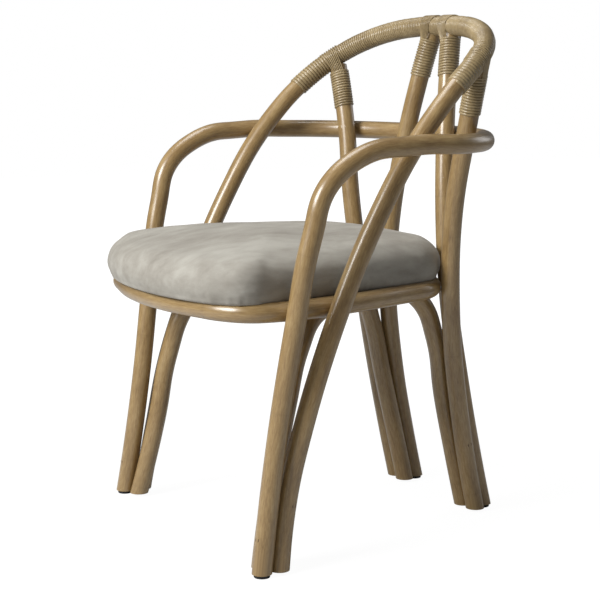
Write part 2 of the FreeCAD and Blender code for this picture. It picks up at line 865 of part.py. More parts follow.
def saddle(label, joint_length, hang):
    """Strands that lie side by side over the hoop, above a spindle that hangs from it."""
    count = int(size("saddle_strands"))
    radius = bound_radius + size("saddle_strand_diameter") / 2 + size("peel_gap")
    half_wrap = math.radians(size("saddle_wrap_angle")) / 2
    strands = []
    for index in range(count):
        offset = (index - (count - 1) / 2) * size("saddle_pitch")
        centre, way = hoop_route.place(joint_length + offset)
        top = square_to(hang * -1, way)
        front = way.cross(top)
        places = [
            centre + (top * math.cos(angle) + front * math.sin(angle)) * radius
            for angle in (-half_wrap, 0, half_wrap)
        ]
        arc = Part.Arc(*places).toShape()
        start_way = unit(arc.tangentAt(arc.FirstParameter))
        ring = Part.Wire(Part.Circle(places[0], start_way, size("saddle_strand_diameter") / 2).toShape())
        strands.append(Part.Wire(arc).makePipeShell([ring], True, False))
    return node(feature(label, Part.makeCompound(strands)), label)


hoop_winding_length = size("hoop_turns") * size("hoop_peel_pitch")
hoop_winding_start = bound_start + size("peel_diameter")
hoop_winding = (size("hoop_turns"), size("hoop_peel_pitch"))
winding("hoop_binding_left", hoop_route, hoop_winding_start, *hoop_winding)
winding(
    "hoop_binding_right",
    hoop_route,
    hoop_route.length - hoop_winding_start - hoop_winding_length,
    *hoop_winding,
)
sleeve_start = hoop_winding_start + hoop_winding_length + size("peel_diameter")
sleeve_end = hoop_route.length - sleeve_start
sleeve_tube = less(
    "crown_sleeve_tube",
    rod("crown_sleeve_outside", hoop_route, "bound_diameter", "0.5", sleeve_start, sleeve_end),
    rod("crown_sleeve_inside", hoop_route, "bound_diameter", LINING, sleeve_start - run, sleeve_end + run),
)
sleeve_cuts = []
for family, route, top_length in (
    ("outer", outer_route, outer_top_length),
    ("inner", inner_route, inner_top_length),
):
    for side_name, side in SIDES:
        own_route = side_route(route, side)
        label = "%s_%s" % (family, side_name)
        reach = own_route.length - hoop_reach
        sleeve_cuts.append(rod("sleeve_mouth_" + label, own_route, "bound_diameter", COPE, reach))
        start = own_route.length - winding_top - winding_length
        winding("spindle_binding_" + label, own_route, start, size("spindle_turns"), size("peel_pitch"))
        joint_length = hoop_side_length(top_length, side)
        hang = own_route.place(own_route.length - hoop_reach)[0] - hoop_route.place(joint_length)[0]
        saddle("saddle_strands_" + label, joint_length, unit(hang))
node(less("crown_sleeve", sleeve_tube, fused("sleeve_mouths", sleeve_cuts)), "crown_binding")

# Upholstered seat: foam on a board, in a velvet cover that is drawn in under it

# Shares of cushion_overhang by which the cushion passes each station of the ring
CUSHION_OVERHANG_SHARES = (1.0, 1.0, 0.9, 0.73, 0.55, -0.18, -0.27, -0.1, 0.27, 0.36, 0.36)
# Shares of the cushion's thickness and of the width of its lower edge
TUCK_SHARES = ((0.0, 1.0), (0.05, 0.45), (0.13, 0.12), (0.26, 0.0))
# Shares of the cushion's thickness and of the width of its upper edge
EDGE_SHARES = ((0.508, 0.134), (0.638, 0.357), (0.723, 0.657), (0.752, 1.0))
# Shares of the cushion's thickness and of the outline inside the upper edge
CROWN_SHARES = ((0.84, 0.8), (0.924, 0.55), (0.98, 0.28))
cushion_base = ring_height + cane_radius + size("seat_rest_gap")
cushion_middle = Vector(0, (size("ring_back") - size("ring_front")) / 2, 0)


def cushion_outline(inset, height, shrink=1.0):
    """The cushion's outline at a height, drawn in by an inset and shrunk to a share."""
    half = []
    for point, way, share in zip(ring_half, ring_route.ways, CUSHION_OVERHANG_SHARES):
        outward = way.cross(UP)
        place = point + outward * (share * size("cushion_overhang") - inset)
        flat = Vector(place.x, place.y, 0)
        flat = cushion_middle + (flat - cushion_middle) * shrink
        half.append(Vector(flat.x, flat.y, height))
    return closed_ring(half).wire()


def cushion_form(skin):
    """The cushion's shape inside a skin of the given thickness."""
    base = cushion_base + skin
    thick = size("cushion_thickness") - 2 * skin
    rows = [(rise, share * size("cushion_tuck"), 1.0) for rise, share in TUCK_SHARES]
    rows += [(rise, share * size("cushion_edge"), 1.0) for rise, share in EDGE_SHARES]
    rows += [(rise, size("cushion_edge"), shrink) for rise, shrink in CROWN_SHARES]
    wires = [cushion_outline(inset + skin, base + rise * thick, shrink) for rise, inset, shrink in rows]
    return Part.makeLoft(wires, True, True)


def plate(inset, bottom, thickness):
    """A flat plate with the cushion's outline drawn in by an inset."""
    return Part.Face(cushion_outline(inset, bottom)).extrude(UP * thickness)


lining = size("cover_thickness") + size("cover_gap")
board_bottom = cushion_base + lining
board_top = board_bottom + size("board_thickness")
board = plate(size("board_inset"), board_bottom, size("board_thickness"))
board_room = plate(
    size("board_inset") - size("cover_gap"),
    cushion_base - lining,
    board_top + lining + size("cover_gap") - cushion_base,
)
opening_inset = size("board_inset") + size("cover_turn_under")
opening = plate(opening_inset, cushion_base - lining, 2 * lining)
cloth = plate(
    opening_inset + size("cover_gap"),
    cushion_base + size("cover_thickness") - size("cloth_thickness"),
    size("cloth_thickness"),
)


def holed(label, shape):
    """A flat piece of the seat with its screw holes."""
    cuts = holes_for(label)
    base = feature(label + "_blank", shape)
    if not cuts:
        return node(base, label)
    return node(less(label + "_holed", base, feature(label + "_holes", Part.makeCompound(cuts))), label)


cushion_outside = cushion_form(0.0)
cushion_room = cushion_form(size("cover_thickness"))
holed("seat_board", board)
holed("cushion_core", cushion_form(lining).cut(board_room))
holed("cushion_cover", cushion_outside.cut(cushion_room).cut(opening))
holed("dust_cloth", cloth)

# Glides, nails, screws and plugs


def glide_solid(place):
    """A round glide with a softened rim and a stepped bore for its nail."""
    gap = size("fit_gap")
    disc = bar(place, UP, size("glide_diameter") / 2, size("glide_thickness"))
    rim = [edge for edge in disc.Edges if edge.isClosed() and edge.BoundBox.ZMax < size("glide_edge")]
    disc = disc.makeFillet(size("glide_edge"), rim)
    bore = bar(place, UP, size("nail_diameter") / 2 + gap, size("glide_thickness"))
    step = bar(place, UP, size("nail_head_diameter") / 2 + gap, size("nail_head_thickness") + 2 * gap)
    return disc.cut(bore).cut(step)


def nail_solid(place):
    """A flat-headed nail that holds a glide."""
    head_bottom = place + UP * size("fit_gap")
    head = bar(head_bottom, UP, size("nail_head_diameter") / 2, size("nail_head_thickness"))
    shank = bar(head_bottom, UP, size("nail_diameter") / 2, size("nail_head_thickness") + size("nail_length"))
    return head.fuse(shank).removeSplitter()


def group(label, solids):
    """Identical pieces that share one node."""
    return node(feature(label, Part.makeCompound(solids)), label)


all_glide_places = [place for places in glide_places.values() for place in places]
group("foot_glides", [glide_solid(place) for place in all_glide_places])
group("glide_nails", [nail_solid(place) for place in all_glide_places])
for kind in ("leg", "ring", "arm", "seat"):
    group(kind + "_screws", [screw_solid(joint) for joint in joints if joint.kind == kind])
for kind in ("leg", "arm"):
    group(kind + "_plugs", [plug_solid(joint) for joint in joints if joint.kind == kind])

doc.recompute()
for item in doc.Objects:
    if "Invalid" in item.State or "Error" in item.State:
        raise RuntimeError("%s failed: %s" % (item.Label, item.State))

# The origin lies on the floor under the middle of the chair's bounding box.
whole = Part.makeCompound([item.Shape for item in nodes]).optimalBoundingBox(False, False)
to_middle = Vector(0, -(whole.YMin + whole.YMax) / 2, 0)
print("moved back by", round(to_middle.y, 3), "bounds", whole)
for item in nodes:
    item.Placement = FreeCAD.Placement(to_middle, FreeCAD.Rotation())

os.makedirs("parts", exist_ok=True)
for item in nodes:
    if item.Shape.isNull() or not item.Shape.isValid():
        raise RuntimeError("%s has no valid shape" % item.Label)
for item in nodes:
    item.Shape.exportStep("parts/%s.step" % item.Label)
print(len(nodes), "sub-parts written")
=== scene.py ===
"""Looks of the cane armchair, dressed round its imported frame.

The canes, their bindings of peel, the glides and the velvet seat are modelled here at the
places that the frame's nodes give. All lengths are in metres. The chair faces -Y and +X is
the sitter's left.
"""
from __future__ import annotations

import json
import logging
import math
from bisect import bisect_right
from contextlib import contextmanager
from dataclasses import dataclass, field
from enum import Enum
from functools import partialmethod
from typing import Any, Iterator, Sequence

import bpy
from mathutils import Matrix, Vector, kdtree, noise

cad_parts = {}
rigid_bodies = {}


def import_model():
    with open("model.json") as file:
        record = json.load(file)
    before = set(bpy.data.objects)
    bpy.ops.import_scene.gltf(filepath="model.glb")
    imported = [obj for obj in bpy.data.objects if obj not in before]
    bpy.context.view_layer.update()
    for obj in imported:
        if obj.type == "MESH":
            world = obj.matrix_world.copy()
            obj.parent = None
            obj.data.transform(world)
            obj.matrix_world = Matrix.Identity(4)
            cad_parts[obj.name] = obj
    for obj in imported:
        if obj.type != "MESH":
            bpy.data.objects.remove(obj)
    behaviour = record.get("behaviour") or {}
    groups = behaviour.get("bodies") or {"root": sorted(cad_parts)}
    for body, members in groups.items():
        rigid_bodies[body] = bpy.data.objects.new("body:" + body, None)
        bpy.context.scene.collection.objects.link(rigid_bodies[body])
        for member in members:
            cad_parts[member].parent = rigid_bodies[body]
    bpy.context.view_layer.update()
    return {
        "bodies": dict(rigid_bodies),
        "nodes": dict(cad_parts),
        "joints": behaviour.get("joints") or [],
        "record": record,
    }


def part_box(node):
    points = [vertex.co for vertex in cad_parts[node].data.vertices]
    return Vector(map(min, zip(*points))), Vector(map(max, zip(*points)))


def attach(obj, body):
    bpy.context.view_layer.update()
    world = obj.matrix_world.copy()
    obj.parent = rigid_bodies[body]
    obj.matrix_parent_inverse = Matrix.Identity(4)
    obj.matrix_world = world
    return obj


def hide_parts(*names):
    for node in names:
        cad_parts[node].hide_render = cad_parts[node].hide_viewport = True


LOG = logging.getLogger("cane_armchair")
MM = 0.001
UP = Vector((0.0, 0.0, 1.0))
BODY = "root"
WHITE = (1.0, 1.0, 1.0, 1.0)
NO_STRETCH = (1.0, 1.0, 1.0)
DOUBLES = 0.01 * MM
Colour = tuple[float, ...]
Stops = tuple[tuple[float, Colour], ...]
Frame = dict[str, Any]
Material = bpy.types.Material
Piece = bpy.types.Object
Socket = bpy.types.NodeSocket


class Side(Enum):
    """The two halves of the chair."""

    LEFT = "left"
    RIGHT = "right"


class Family(Enum):
    """The two kinds of spindle."""

    OUTER = "outer"
    INNER = "inner"


SPINDLES = ["%s_%s" % (family.value, side.value) for family in Family for side in Side]


def clamp(value: float) -> float:
    """A value kept between 0 and 1."""
    return min(1.0, max(0.0, value))


# Shader expressions


@dataclass(frozen=True)
class Value:
    """A shader socket on which Python's operators add Math nodes."""

    shader: "Shader"
    socket: Socket

    def _math(self, operation: str, *others: Any) -> "Value":
        """Add one Math node with this value as its first term.

        Args:
            operation: Name of the node's operation.
            others: Numbers or values for its further terms.

        Returns:
            The node's result.
        """
        terms = dict(enumerate((self, *others)))
        node = self.shader.add("ShaderNodeMath", {"operation": operation}, terms)
        return Value(self.shader, node.outputs[0])

    __add__ = __radd__ = partialmethod(_math, "ADD")
    __sub__ = partialmethod(_math, "SUBTRACT")
    __mul__ = __rmul__ = partialmethod(_math, "MULTIPLY")
    __truediv__ = partialmethod(_math, "DIVIDE")
    __abs__ = partialmethod(_math, "ABSOLUTE")
    fraction = partialmethod(_math, "FRACT")
    cosine = partialmethod(_math, "COSINE")
    sine = partialmethod(_math, "SINE")

    def ramp(self, low: float, high: float) -> "Value":
        """Go smoothly from 0 to 1 between two values.

        Args:
            low: Value that gives 0, which may be the greater.
            high: Value that gives 1.

        Returns:
            The share between them.
        """
        node = self.shader.add(
            "ShaderNodeMapRange",
            {"interpolation_type": "SMOOTHSTEP"},
            {"Value": self, "From Min": low, "From Max": high},
        )
        return Value(self.shader, node.outputs["Result"])


def tone(red: int, green: int, blue: int) -> Colour:
    """A colour as the shader takes it, by the curve that screens use.

    Args:
        red: Red as seen on a screen, 0 to 255.
        green: Green, likewise.
        blue: Blue, likewise.

    Returns:
        Linear red, green, blue and an alpha of 1.
    """
    shares = [channel / 255 for channel in (red, green, blue)]
    linear = [
        share / 12.92 if share <= 0.04045 else ((share + 0.055) / 1.055) ** 2.4 for share in shares
    ]
    return (*linear, 1.0)


def blend(shares: Sequence[float], *layers: Value) -> Value:
    """Add layers up, each by its share.

    Args:
        shares: The shares.
        layers: As many layers.

    Returns:
        The sum.
    """
    total, *others = [layer * share for share, layer in zip(shares, layers)]
    for other in others:
        total = total + other
    return total


@dataclass(frozen=True)
class Grain:
    """One layer of soft random variation: its cells to a unit, octaves and their strength."""

    scale: float
    detail: float
    roughness: float = 0.5


class Shader:
    """The nodes of one material or world."""

    def __init__(self, owner: Material | bpy.types.World) -> None:
        """Start without nodes.

        Args:
            owner: The material or world.
        """
        owner.use_nodes = True
        self.owner = owner
        self.tree = owner.node_tree
        self.tree.nodes.clear()

    def add(
        self, kind: str, settings: dict[str, Any] | None = None, sockets: dict | None = None
    ) -> bpy.types.Node:
        """Add a node, with its settings first and then its sockets.

        Args:
            kind: The node's type.
            settings: Its properties.
            sockets: Numbers, colours, values or outputs for its inputs.

        Returns:
            The node.
        """
        node = self.tree.nodes.new(kind)
        for name, setting in (settings or {}).items():
            setattr(node, name, setting)
        for name, given in (sockets or {}).items():
            if isinstance(given, Value):
                given = given.socket
            if isinstance(given, Socket):
                self.tree.links.new(given, node.inputs[name])
            else:
                node.inputs[name].default_value = given
        return node

    def noise_node(self, vector: Any, grain: Grain) -> bpy.types.Node:
        """The noise of one layer of grain.

        Args:
            vector: Where it is read.
            grain: The layer.

        Returns:
            The node.
        """
        return self.add(
            "ShaderNodeTexNoise",
            {"noise_dimensions": "3D"},
            {
                "Vector": vector,
                "Scale": grain.scale,
                "Detail": grain.detail,
                "Roughness": grain.roughness,
            },
        )

    def noise(self, vector: Any, grain: Grain) -> Value:
        """One layer of grain, as a value round 0.5."""
        return Value(self, self.noise_node(vector, grain).outputs[0])

    def combine(self, *terms: Any) -> Socket:
        """A vector of three terms."""
        return self.add("ShaderNodeCombineXYZ", None, dict(enumerate(terms))).outputs[0]

    def mapped(self, vector: Any, stretch: Sequence[float], turn: float = 0.0) -> Socket:
        """A vector turned about the upright axis and stretched along each axis."""
        sockets = {"Vector": vector, "Rotation": (0.0, 0.0, turn), "Scale": stretch}
        return self.add("ShaderNodeMapping", None, sockets).outputs[0]

    def mix(self, share: Any, first: Any, second: Any) -> Socket:
        """Blend two colours, with this share of the second."""
        node = self.add("ShaderNodeMix", {"data_type": "RGBA"}, {0: share, 6: first, 7: second})
        return node.outputs[2]

    def colours(self, value: Value, stops: Stops) -> Socket:
        """Turn a value into colour.

        Args:
            value: What chooses the colour.
            stops: Places with their colours.

        Returns:
            The colour's socket.
        """
        node = self.add("ShaderNodeValToRGB", None, {"Fac": value})
        ramp = node.color_ramp.elements
        while len(ramp) < len(stops):
            ramp.new(1.0)
        for element, (place, colour) in zip(ramp, stops):
            element.position = place
            element.color = colour
        return node.outputs["Color"]

    def bump(self, height: Value, distance: float, share: float = 1.0) -> Socket:
        """Relief too fine to model, of a depth in metres, used by a share."""
        sockets = {"Height": height, "Distance": distance, "Strength": share}
        return self.add("ShaderNodeBump", None, sockets).outputs["Normal"]

    def object_place(self) -> Socket:
        """The place on the object, in metres."""
        return self.add("ShaderNodeTexCoord").outputs["Object"]

    def along_and_around(self) -> tuple[Value, Value]:
        """Length along a cane in metres and the share of its girth, from its own map.

        Returns:
            The length and the share.
        """
        own_map = self.add("ShaderNodeTexCoord").outputs["UV"]
        parts = self.add("ShaderNodeSeparateXYZ", None, {0: own_map})
        return Value(self, parts.outputs[0]), Value(self, parts.outputs[1])

    def finish(self, sockets: dict[str, Any]) -> Material:
        """Close the material with its surface shader.

        Args:
            sockets: Numbers, colours or links for the surface shader.

        Returns:
            The material.
        """
        surface = self.add("ShaderNodeBsdfPrincipled", None, sockets)
        self.add("ShaderNodeOutputMaterial", None, {"Surface": surface.outputs[0]})
        return self.owner


# Finishes


@dataclass(frozen=True)
class CaneFinish:
    """Round cane under a satin lacquer, with streaks along it and faint nodes."""

    name: str = "lacquered_cane"
    tones: Stops = (
        (0.3, tone(117, 91, 55)),
        (0.5, tone(151, 124, 81)),
        (0.68, tone(174, 149, 104)),
    )
    streaks: Grain = Grain(7.0, 5.0, 0.62)
    clouds: Grain = Grain(1.9, 3.0, 0.55)
    fibres: Grain = Grain(26.0, 3.0, 0.6)
    wander: Grain = Grain(1.0, 1.0)
    colour_shares: tuple[float, ...] = (0.5, 0.38, 0.12)
    relief_shares: tuple[float, ...] = (0.45, 0.35, 0.2)
    node_colour: Colour = tone(96, 74, 46)
    node_spacing: float = 235 * MM
    node_wander: float = 120 * MM
    line_core: float = 0.4 * MM
    line_edge: float = 1.6 * MM
    halo_edge: float = 12 * MM
    streak_stretch: float = 9.0
    cloud_girth: float = 0.4
    cloud_stretch: float = 7.0
    wander_stretch: float = 2.0
    halo_strength: float = 0.1
    line_strength: float = 0.2
    roughness: float = 0.34
    fine_gloss: float = 0.16
    broad_gloss: float = 0.12
    coat: float = 0.8
    coat_roughness: float = 0.27
    relief: float = 0.22 * MM

    def material(self) -> Material:
        """Build the material.

        Returns:
            The lacquered cane.
        """
        shader = Shader(bpy.data.materials.new(self.name))
        along, around = shader.along_and_around()
        angle = around * (2 * math.pi)
        across, up = angle.cosine(), angle.sine()
        streaks_at = shader.combine(across, up, along * self.streak_stretch)
        girth = self.cloud_girth
        clouds_at = shader.combine(across * girth, up * girth, along * self.cloud_stretch)
        streaks = shader.noise(streaks_at, self.streaks)
        fibres = shader.noise(streaks_at, self.fibres)
        clouds = shader.noise(clouds_at, self.clouds)
        wander_at = shader.combine(0.0, 0.0, along * self.wander_stretch)
        wander = shader.noise(wander_at, self.wander)
        spot = ((along + wander * self.node_wander) / self.node_spacing).fraction()
        distance = abs(spot - 0.5) * self.node_spacing
        line = distance.ramp(self.line_edge, self.line_core)
        halo = distance.ramp(self.halo_edge, 0.0)
        body = shader.colours(blend(self.colour_shares, streaks, clouds, fibres), self.tones)
        shaded = shader.mix(halo * self.halo_strength * clouds, body, self.node_colour)
        lined = shader.mix(line * self.line_strength * streaks, shaded, self.node_colour)
        relief = blend(self.relief_shares, streaks, fibres, halo)
        fine, broad = (fibres - 0.5) * self.fine_gloss, (clouds - 0.5) * self.broad_gloss
        return shader.finish(
            {
                "Base Color": lined,
                "Roughness": self.roughness + fine + broad,
                "Coat Weight": self.coat,
                "Coat Roughness": self.coat_roughness,
                "Normal": shader.bump(relief, self.relief),
            }
        )


@dataclass(frozen=True)
class PeelFinish:
    """Split cane peel, a little yellower and drier than the canes."""

    name: str = "cane_peel"
    tones: Stops = (
        (0.3, tone(120, 101, 70)),
        (0.5, tone(152, 133, 97)),
        (0.7, tone(182, 163, 126)),
    )
    strips: Grain = Grain(210.0, 2.0)
    clouds: Grain = Grain(24.0, 3.0)
    fibres: Grain = Grain(1300.0, 3.0, 0.6)
    colour_shares: tuple[float, ...] = (0.3, 0.5, 0.2)
    roughness: float = 0.36
    fine_gloss: float = 0.2
    coat: float = 0.35
    coat_roughness: float = 0.2
    relief: float = 0.05 * MM

    def material(self) -> Material:
        """Build the material.

        Returns:
            The cane peel.
        """
        shader = Shader(bpy.data.materials.new(self.name))
        place = shader.object_place()
        strips = shader.noise(place, self.strips)
        fibres = shader.noise(place, self.fibres)
        clouds = shader.noise(place, self.clouds)
        mixed = blend(self.colour_shares, strips, clouds, fibres)
        return shader.finish(
            {
                "Base Color": shader.colours(mixed, self.tones),
                "Roughness": self.roughness + (fibres - 0.5) * self.fine_gloss,
                "Coat Weight": self.coat,
                "Coat Roughness": self.coat_roughness,
                "Normal": shader.bump(fibres, self.relief),
            }
        )


@dataclass(frozen=True)
class VelvetFinish:
    """Short grey velvet whose pile is brushed in patches."""

    name: str = "grey_velvet"
    tones: Stops = (
        (0.34, tone(136, 131, 122)),
        (0.5, tone(154, 150, 141)),
        (0.64, tone(170, 167, 158)),
    )
    warp: Grain = Grain(9.0, 2.0)
    patches: Grain = Grain(14.0, 3.0, 0.55)
    strokes: Grain = Grain(46.0, 4.0, 0.6)
    pile: Grain = Grain(2600.0, 2.0)
    colour_shares: tuple[float, ...] = (0.48, 0.4, 0.12)
    relief_shares: tuple[float, ...] = (0.5, 0.5)
    sheen_tint: Colour = tone(225, 222, 216)
    most_warp: tuple[float, ...] = (60 * MM, 60 * MM, 20 * MM)
    brushed: tuple[float, ...] = (1.0, 0.42, 1.3)
    brushed_turn: float = 0.5
    roughness: float = 0.86
    broad_gloss: float = 0.2
    sheen: float = 0.18
    sheen_roughness: float = 0.45
    shine: float = 0.2
    relief: float = 0.4 * MM
    relief_share: float = 0.6

    def material(self) -> Material:
        """Build the material.

        Returns:
            The velvet.
        """
        shader = Shader(bpy.data.materials.new(self.name))
        place = shader.object_place()
        warp = shader.noise_node(place, self.warp).outputs["Color"]
        bent = shader.add(
            "ShaderNodeVectorMath",
            {"operation": "MULTIPLY_ADD"},
            {0: warp, 1: self.most_warp, 2: place},
        ).outputs[0]
        drawn = shader.mapped(bent, self.brushed, self.brushed_turn)
        patches = shader.noise(drawn, self.patches)
        strokes = shader.noise(drawn, self.strokes)
        pile = shader.noise(place, self.pile)
        mixed = blend(self.colour_shares, patches, strokes, pile)
        relief = blend(self.relief_shares, pile, strokes)
        return shader.finish(
            {
                "Base Color": shader.colours(mixed, self.tones),
                "Roughness": self.roughness + (patches - 0.5) * self.broad_gloss,
                "Sheen Weight": self.sheen,
                "Sheen Roughness": self.sheen_roughness,
                "Sheen Tint": self.sheen_tint,
                "Specular IOR Level": self.shine,
                "Normal": shader.bump(relief, self.relief, self.relief_share),
            }
        )


@dataclass(frozen=True)
class GrainedFinish:
    """A simple finish with fine variation in colour, gloss and relief."""

    name: str
    first: Colour
    second: Colour
    roughness: float
    scale: float
    stretch: tuple[float, float, float] = NO_STRETCH
    metallic: float = 0.0
    relief: float = 0.1 * MM
    coarse_detail: float = 3.0
    coarse_roughness: float = 0.55
    fine_scale: float = 7.0
    fine_detail: float = 2.0
    colour_shares: tuple[float, ...] = (0.7, 0.3)
    contrast: tuple[float, float] = (0.32, 0.68)
    relief_shares: tuple[float, ...] = (0.5, 0.5)
    fine_gloss: float = 0.2

    def material(self) -> Material:
        """Build the material.

        Returns:
            The finish.
        """
        shader = Shader(bpy.data.materials.new(self.name))
        place = shader.mapped(shader.object_place(), self.stretch)
        coarse_grain = Grain(self.scale, self.coarse_detail, self.coarse_roughness)
        coarse = shader.noise(place, coarse_grain)
        fine = shader.noise(place, Grain(self.scale * self.fine_scale, self.fine_detail))
        mixed = blend(self.colour_shares, coarse, fine).ramp(*self.contrast)
        return shader.finish(
            {
                "Base Color": shader.mix(mixed, self.first, self.second),
                "Roughness": self.roughness + (fine - 0.5) * self.fine_gloss,
                "Metallic": self.metallic,
                "Normal": shader.bump(blend(self.relief_shares, coarse, fine), self.relief),
            }
        )


@dataclass(frozen=True)
class FloorFinish:
    """A pale floor that looks white to the camera and keeps a soft shadow."""

    name: str = "studio_floor"
    colour: Colour = tone(205, 205, 205)
    whiteness: float = 0.86
    glow: float = 1.12
    shadow_reach: float = 0.5
    plain_from: float = 1.3

    def material(self) -> Material:
        """Build the material.

        Returns:
            The floor's material.
        """
        shader = Shader(bpy.data.materials.new(self.name))
        path = shader.add("ShaderNodeLightPath")
        seen = Value(shader, path.outputs["Is Camera Ray"])
        plain = shader.add("ShaderNodeBsdfDiffuse", None, {"Color": self.colour})
        white = shader.add("ShaderNodeEmission", None, {"Color": WHITE, "Strength": self.glow})
        place = shader.object_place()
        far = shader.add("ShaderNodeVectorMath", {"operation": "LENGTH"}, {0: place})
        blend = Value(shader, far.outputs["Value"]).ramp(self.shadow_reach, self.plain_from)
        share = self.whiteness + blend * (1.0 - self.whiteness)
        sockets = {0: seen * share, 1: plain.outputs[0], 2: white.outputs[0]}
        both = shader.add("ShaderNodeMixShader", None, sockets)
        shader.add("ShaderNodeOutputMaterial", None, {"Surface": both.outputs[0]})
        return shader.owner


FINISHES = {
    "cane": CaneFinish(),
    "peel": PeelFinish(),
    "velvet": VelvetFinish(),
    "plywood": GrainedFinish(
        "plywood", tone(178, 148, 104), tone(206, 178, 134), 0.6, 30.0, (1.0, 8.0, 20.0)
    ),
    "foam": GrainedFinish("seat_foam", tone(222, 212, 178), tone(236, 228, 198), 0.9, 400.0),
    "lining": GrainedFinish(
        "dust_cloth", tone(20, 20, 21), tone(34, 34, 35), 0.9, 900.0, relief=0.2 * MM
    ),
    "glide": GrainedFinish("black_glide", tone(14, 14, 15), tone(26, 26, 27), 0.48, 300.0),
    "steel": GrainedFinish(
        "zinc_steel",
        tone(150, 150, 152),
        tone(186, 186, 188),
        0.34,
        500.0,
        metallic=1.0,
        relief=0.03 * MM,
    ),
    "filler": GrainedFinish("dark_filler", tone(74, 54, 34), tone(96, 74, 48), 0.6, 600.0),
}


# Modelling helpers


def deselect_all() -> None:
    """Leave nothing selected and no edit mode on."""
    if bpy.context.object and bpy.context.object.mode != "OBJECT":
        bpy.ops.object.mode_set(mode="OBJECT")
    bpy.ops.object.select_all(action="DESELECT")


def only(*pieces: Piece) -> None:
    """Select some objects alone and make the first one active.

    Args:
        pieces: The objects.
    """
    deselect_all()
    for piece in pieces:
        piece.select_set(True)
    bpy.context.view_layer.objects.active = pieces[0]


@contextmanager
def editing(piece: Piece, action: str = "SELECT") -> Iterator[None]:
    """Edit mode on one object, with all of it selected or deselected first.

    Args:
        piece: The object.
        action: SELECT or DESELECT.
    """
    only(piece)
    bpy.ops.object.mode_set(mode="EDIT")
    bpy.ops.mesh.select_all(action=action)
    yield
    bpy.ops.object.mode_set(mode="OBJECT")


def copy_of_node(frame: Frame, node: str, name: str) -> Piece:
    """A loose copy of a node of the frame, with its doubled corners merged.

    Args:
        node: The node's name.
        name: Name of the copy.

    Returns:
        The copy.
    """
    copy = bpy.data.objects.new(name, frame["nodes"][node].data.copy())
    bpy.context.scene.collection.objects.link(copy)
    copy.data.materials.clear()
    with editing(copy):
        bpy.ops.mesh.remove_doubles(threshold=DOUBLES)
    return copy


def add_modifier(piece: Piece, name: str, kind: str, **settings: Any) -> None:
    """Add a modifier with its settings.

    Args:
        piece: The object.
        name: Name of the modifier.
        kind: Its type.
        settings: Its properties.
    """
    modifier = piece.modifiers.new(name, kind)
    for setting, given in settings.items():
        setattr(modifier, setting, given)


def apply_modifiers(piece: Piece) -> None:
    """Apply every modifier of a piece in order.

    Args:
        piece: The object.
    """
    only(piece)
    for modifier in list(piece.modifiers):
        bpy.ops.object.modifier_apply(modifier=modifier.name)


def joined(pieces: Sequence[Piece], name: str) -> Piece:
    """Join objects into the first of them.

    Args:
        pieces: The objects.
        name: Name of the result.

    Returns:
        The joined object.
    """
    only(*pieces)
    bpy.ops.object.join()
    piece = bpy.context.object
    piece.name = name
    return piece


def dress(piece: Piece, material: Material, slot: str, *replaced: str) -> None:
    """Give a piece its material and its place in the frame.

    Args:
        piece: The object.
        material: Its finish.
        slot: The record's material slot; not used.
        replaced: Nodes of the frame that it stands for.
    """
    piece.data.materials.clear()
    piece.data.materials.append(material)
    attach(piece, BODY)
    if replaced:
        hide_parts(*replaced)
    LOG.info("%s: %d faces", piece.name, len(piece.data.polygons))


def tree_of(places: Sequence[Vector]) -> kdtree.KDTree:
    """A tree that finds the nearest of some places.

    Args:
        places: The places.

    Returns:
        The tree, which numbers them in their order.
    """
    tree = kdtree.KDTree(len(places))
    for index, place in enumerate(places):
        tree.insert(place, index)
    tree.balance()
    return tree


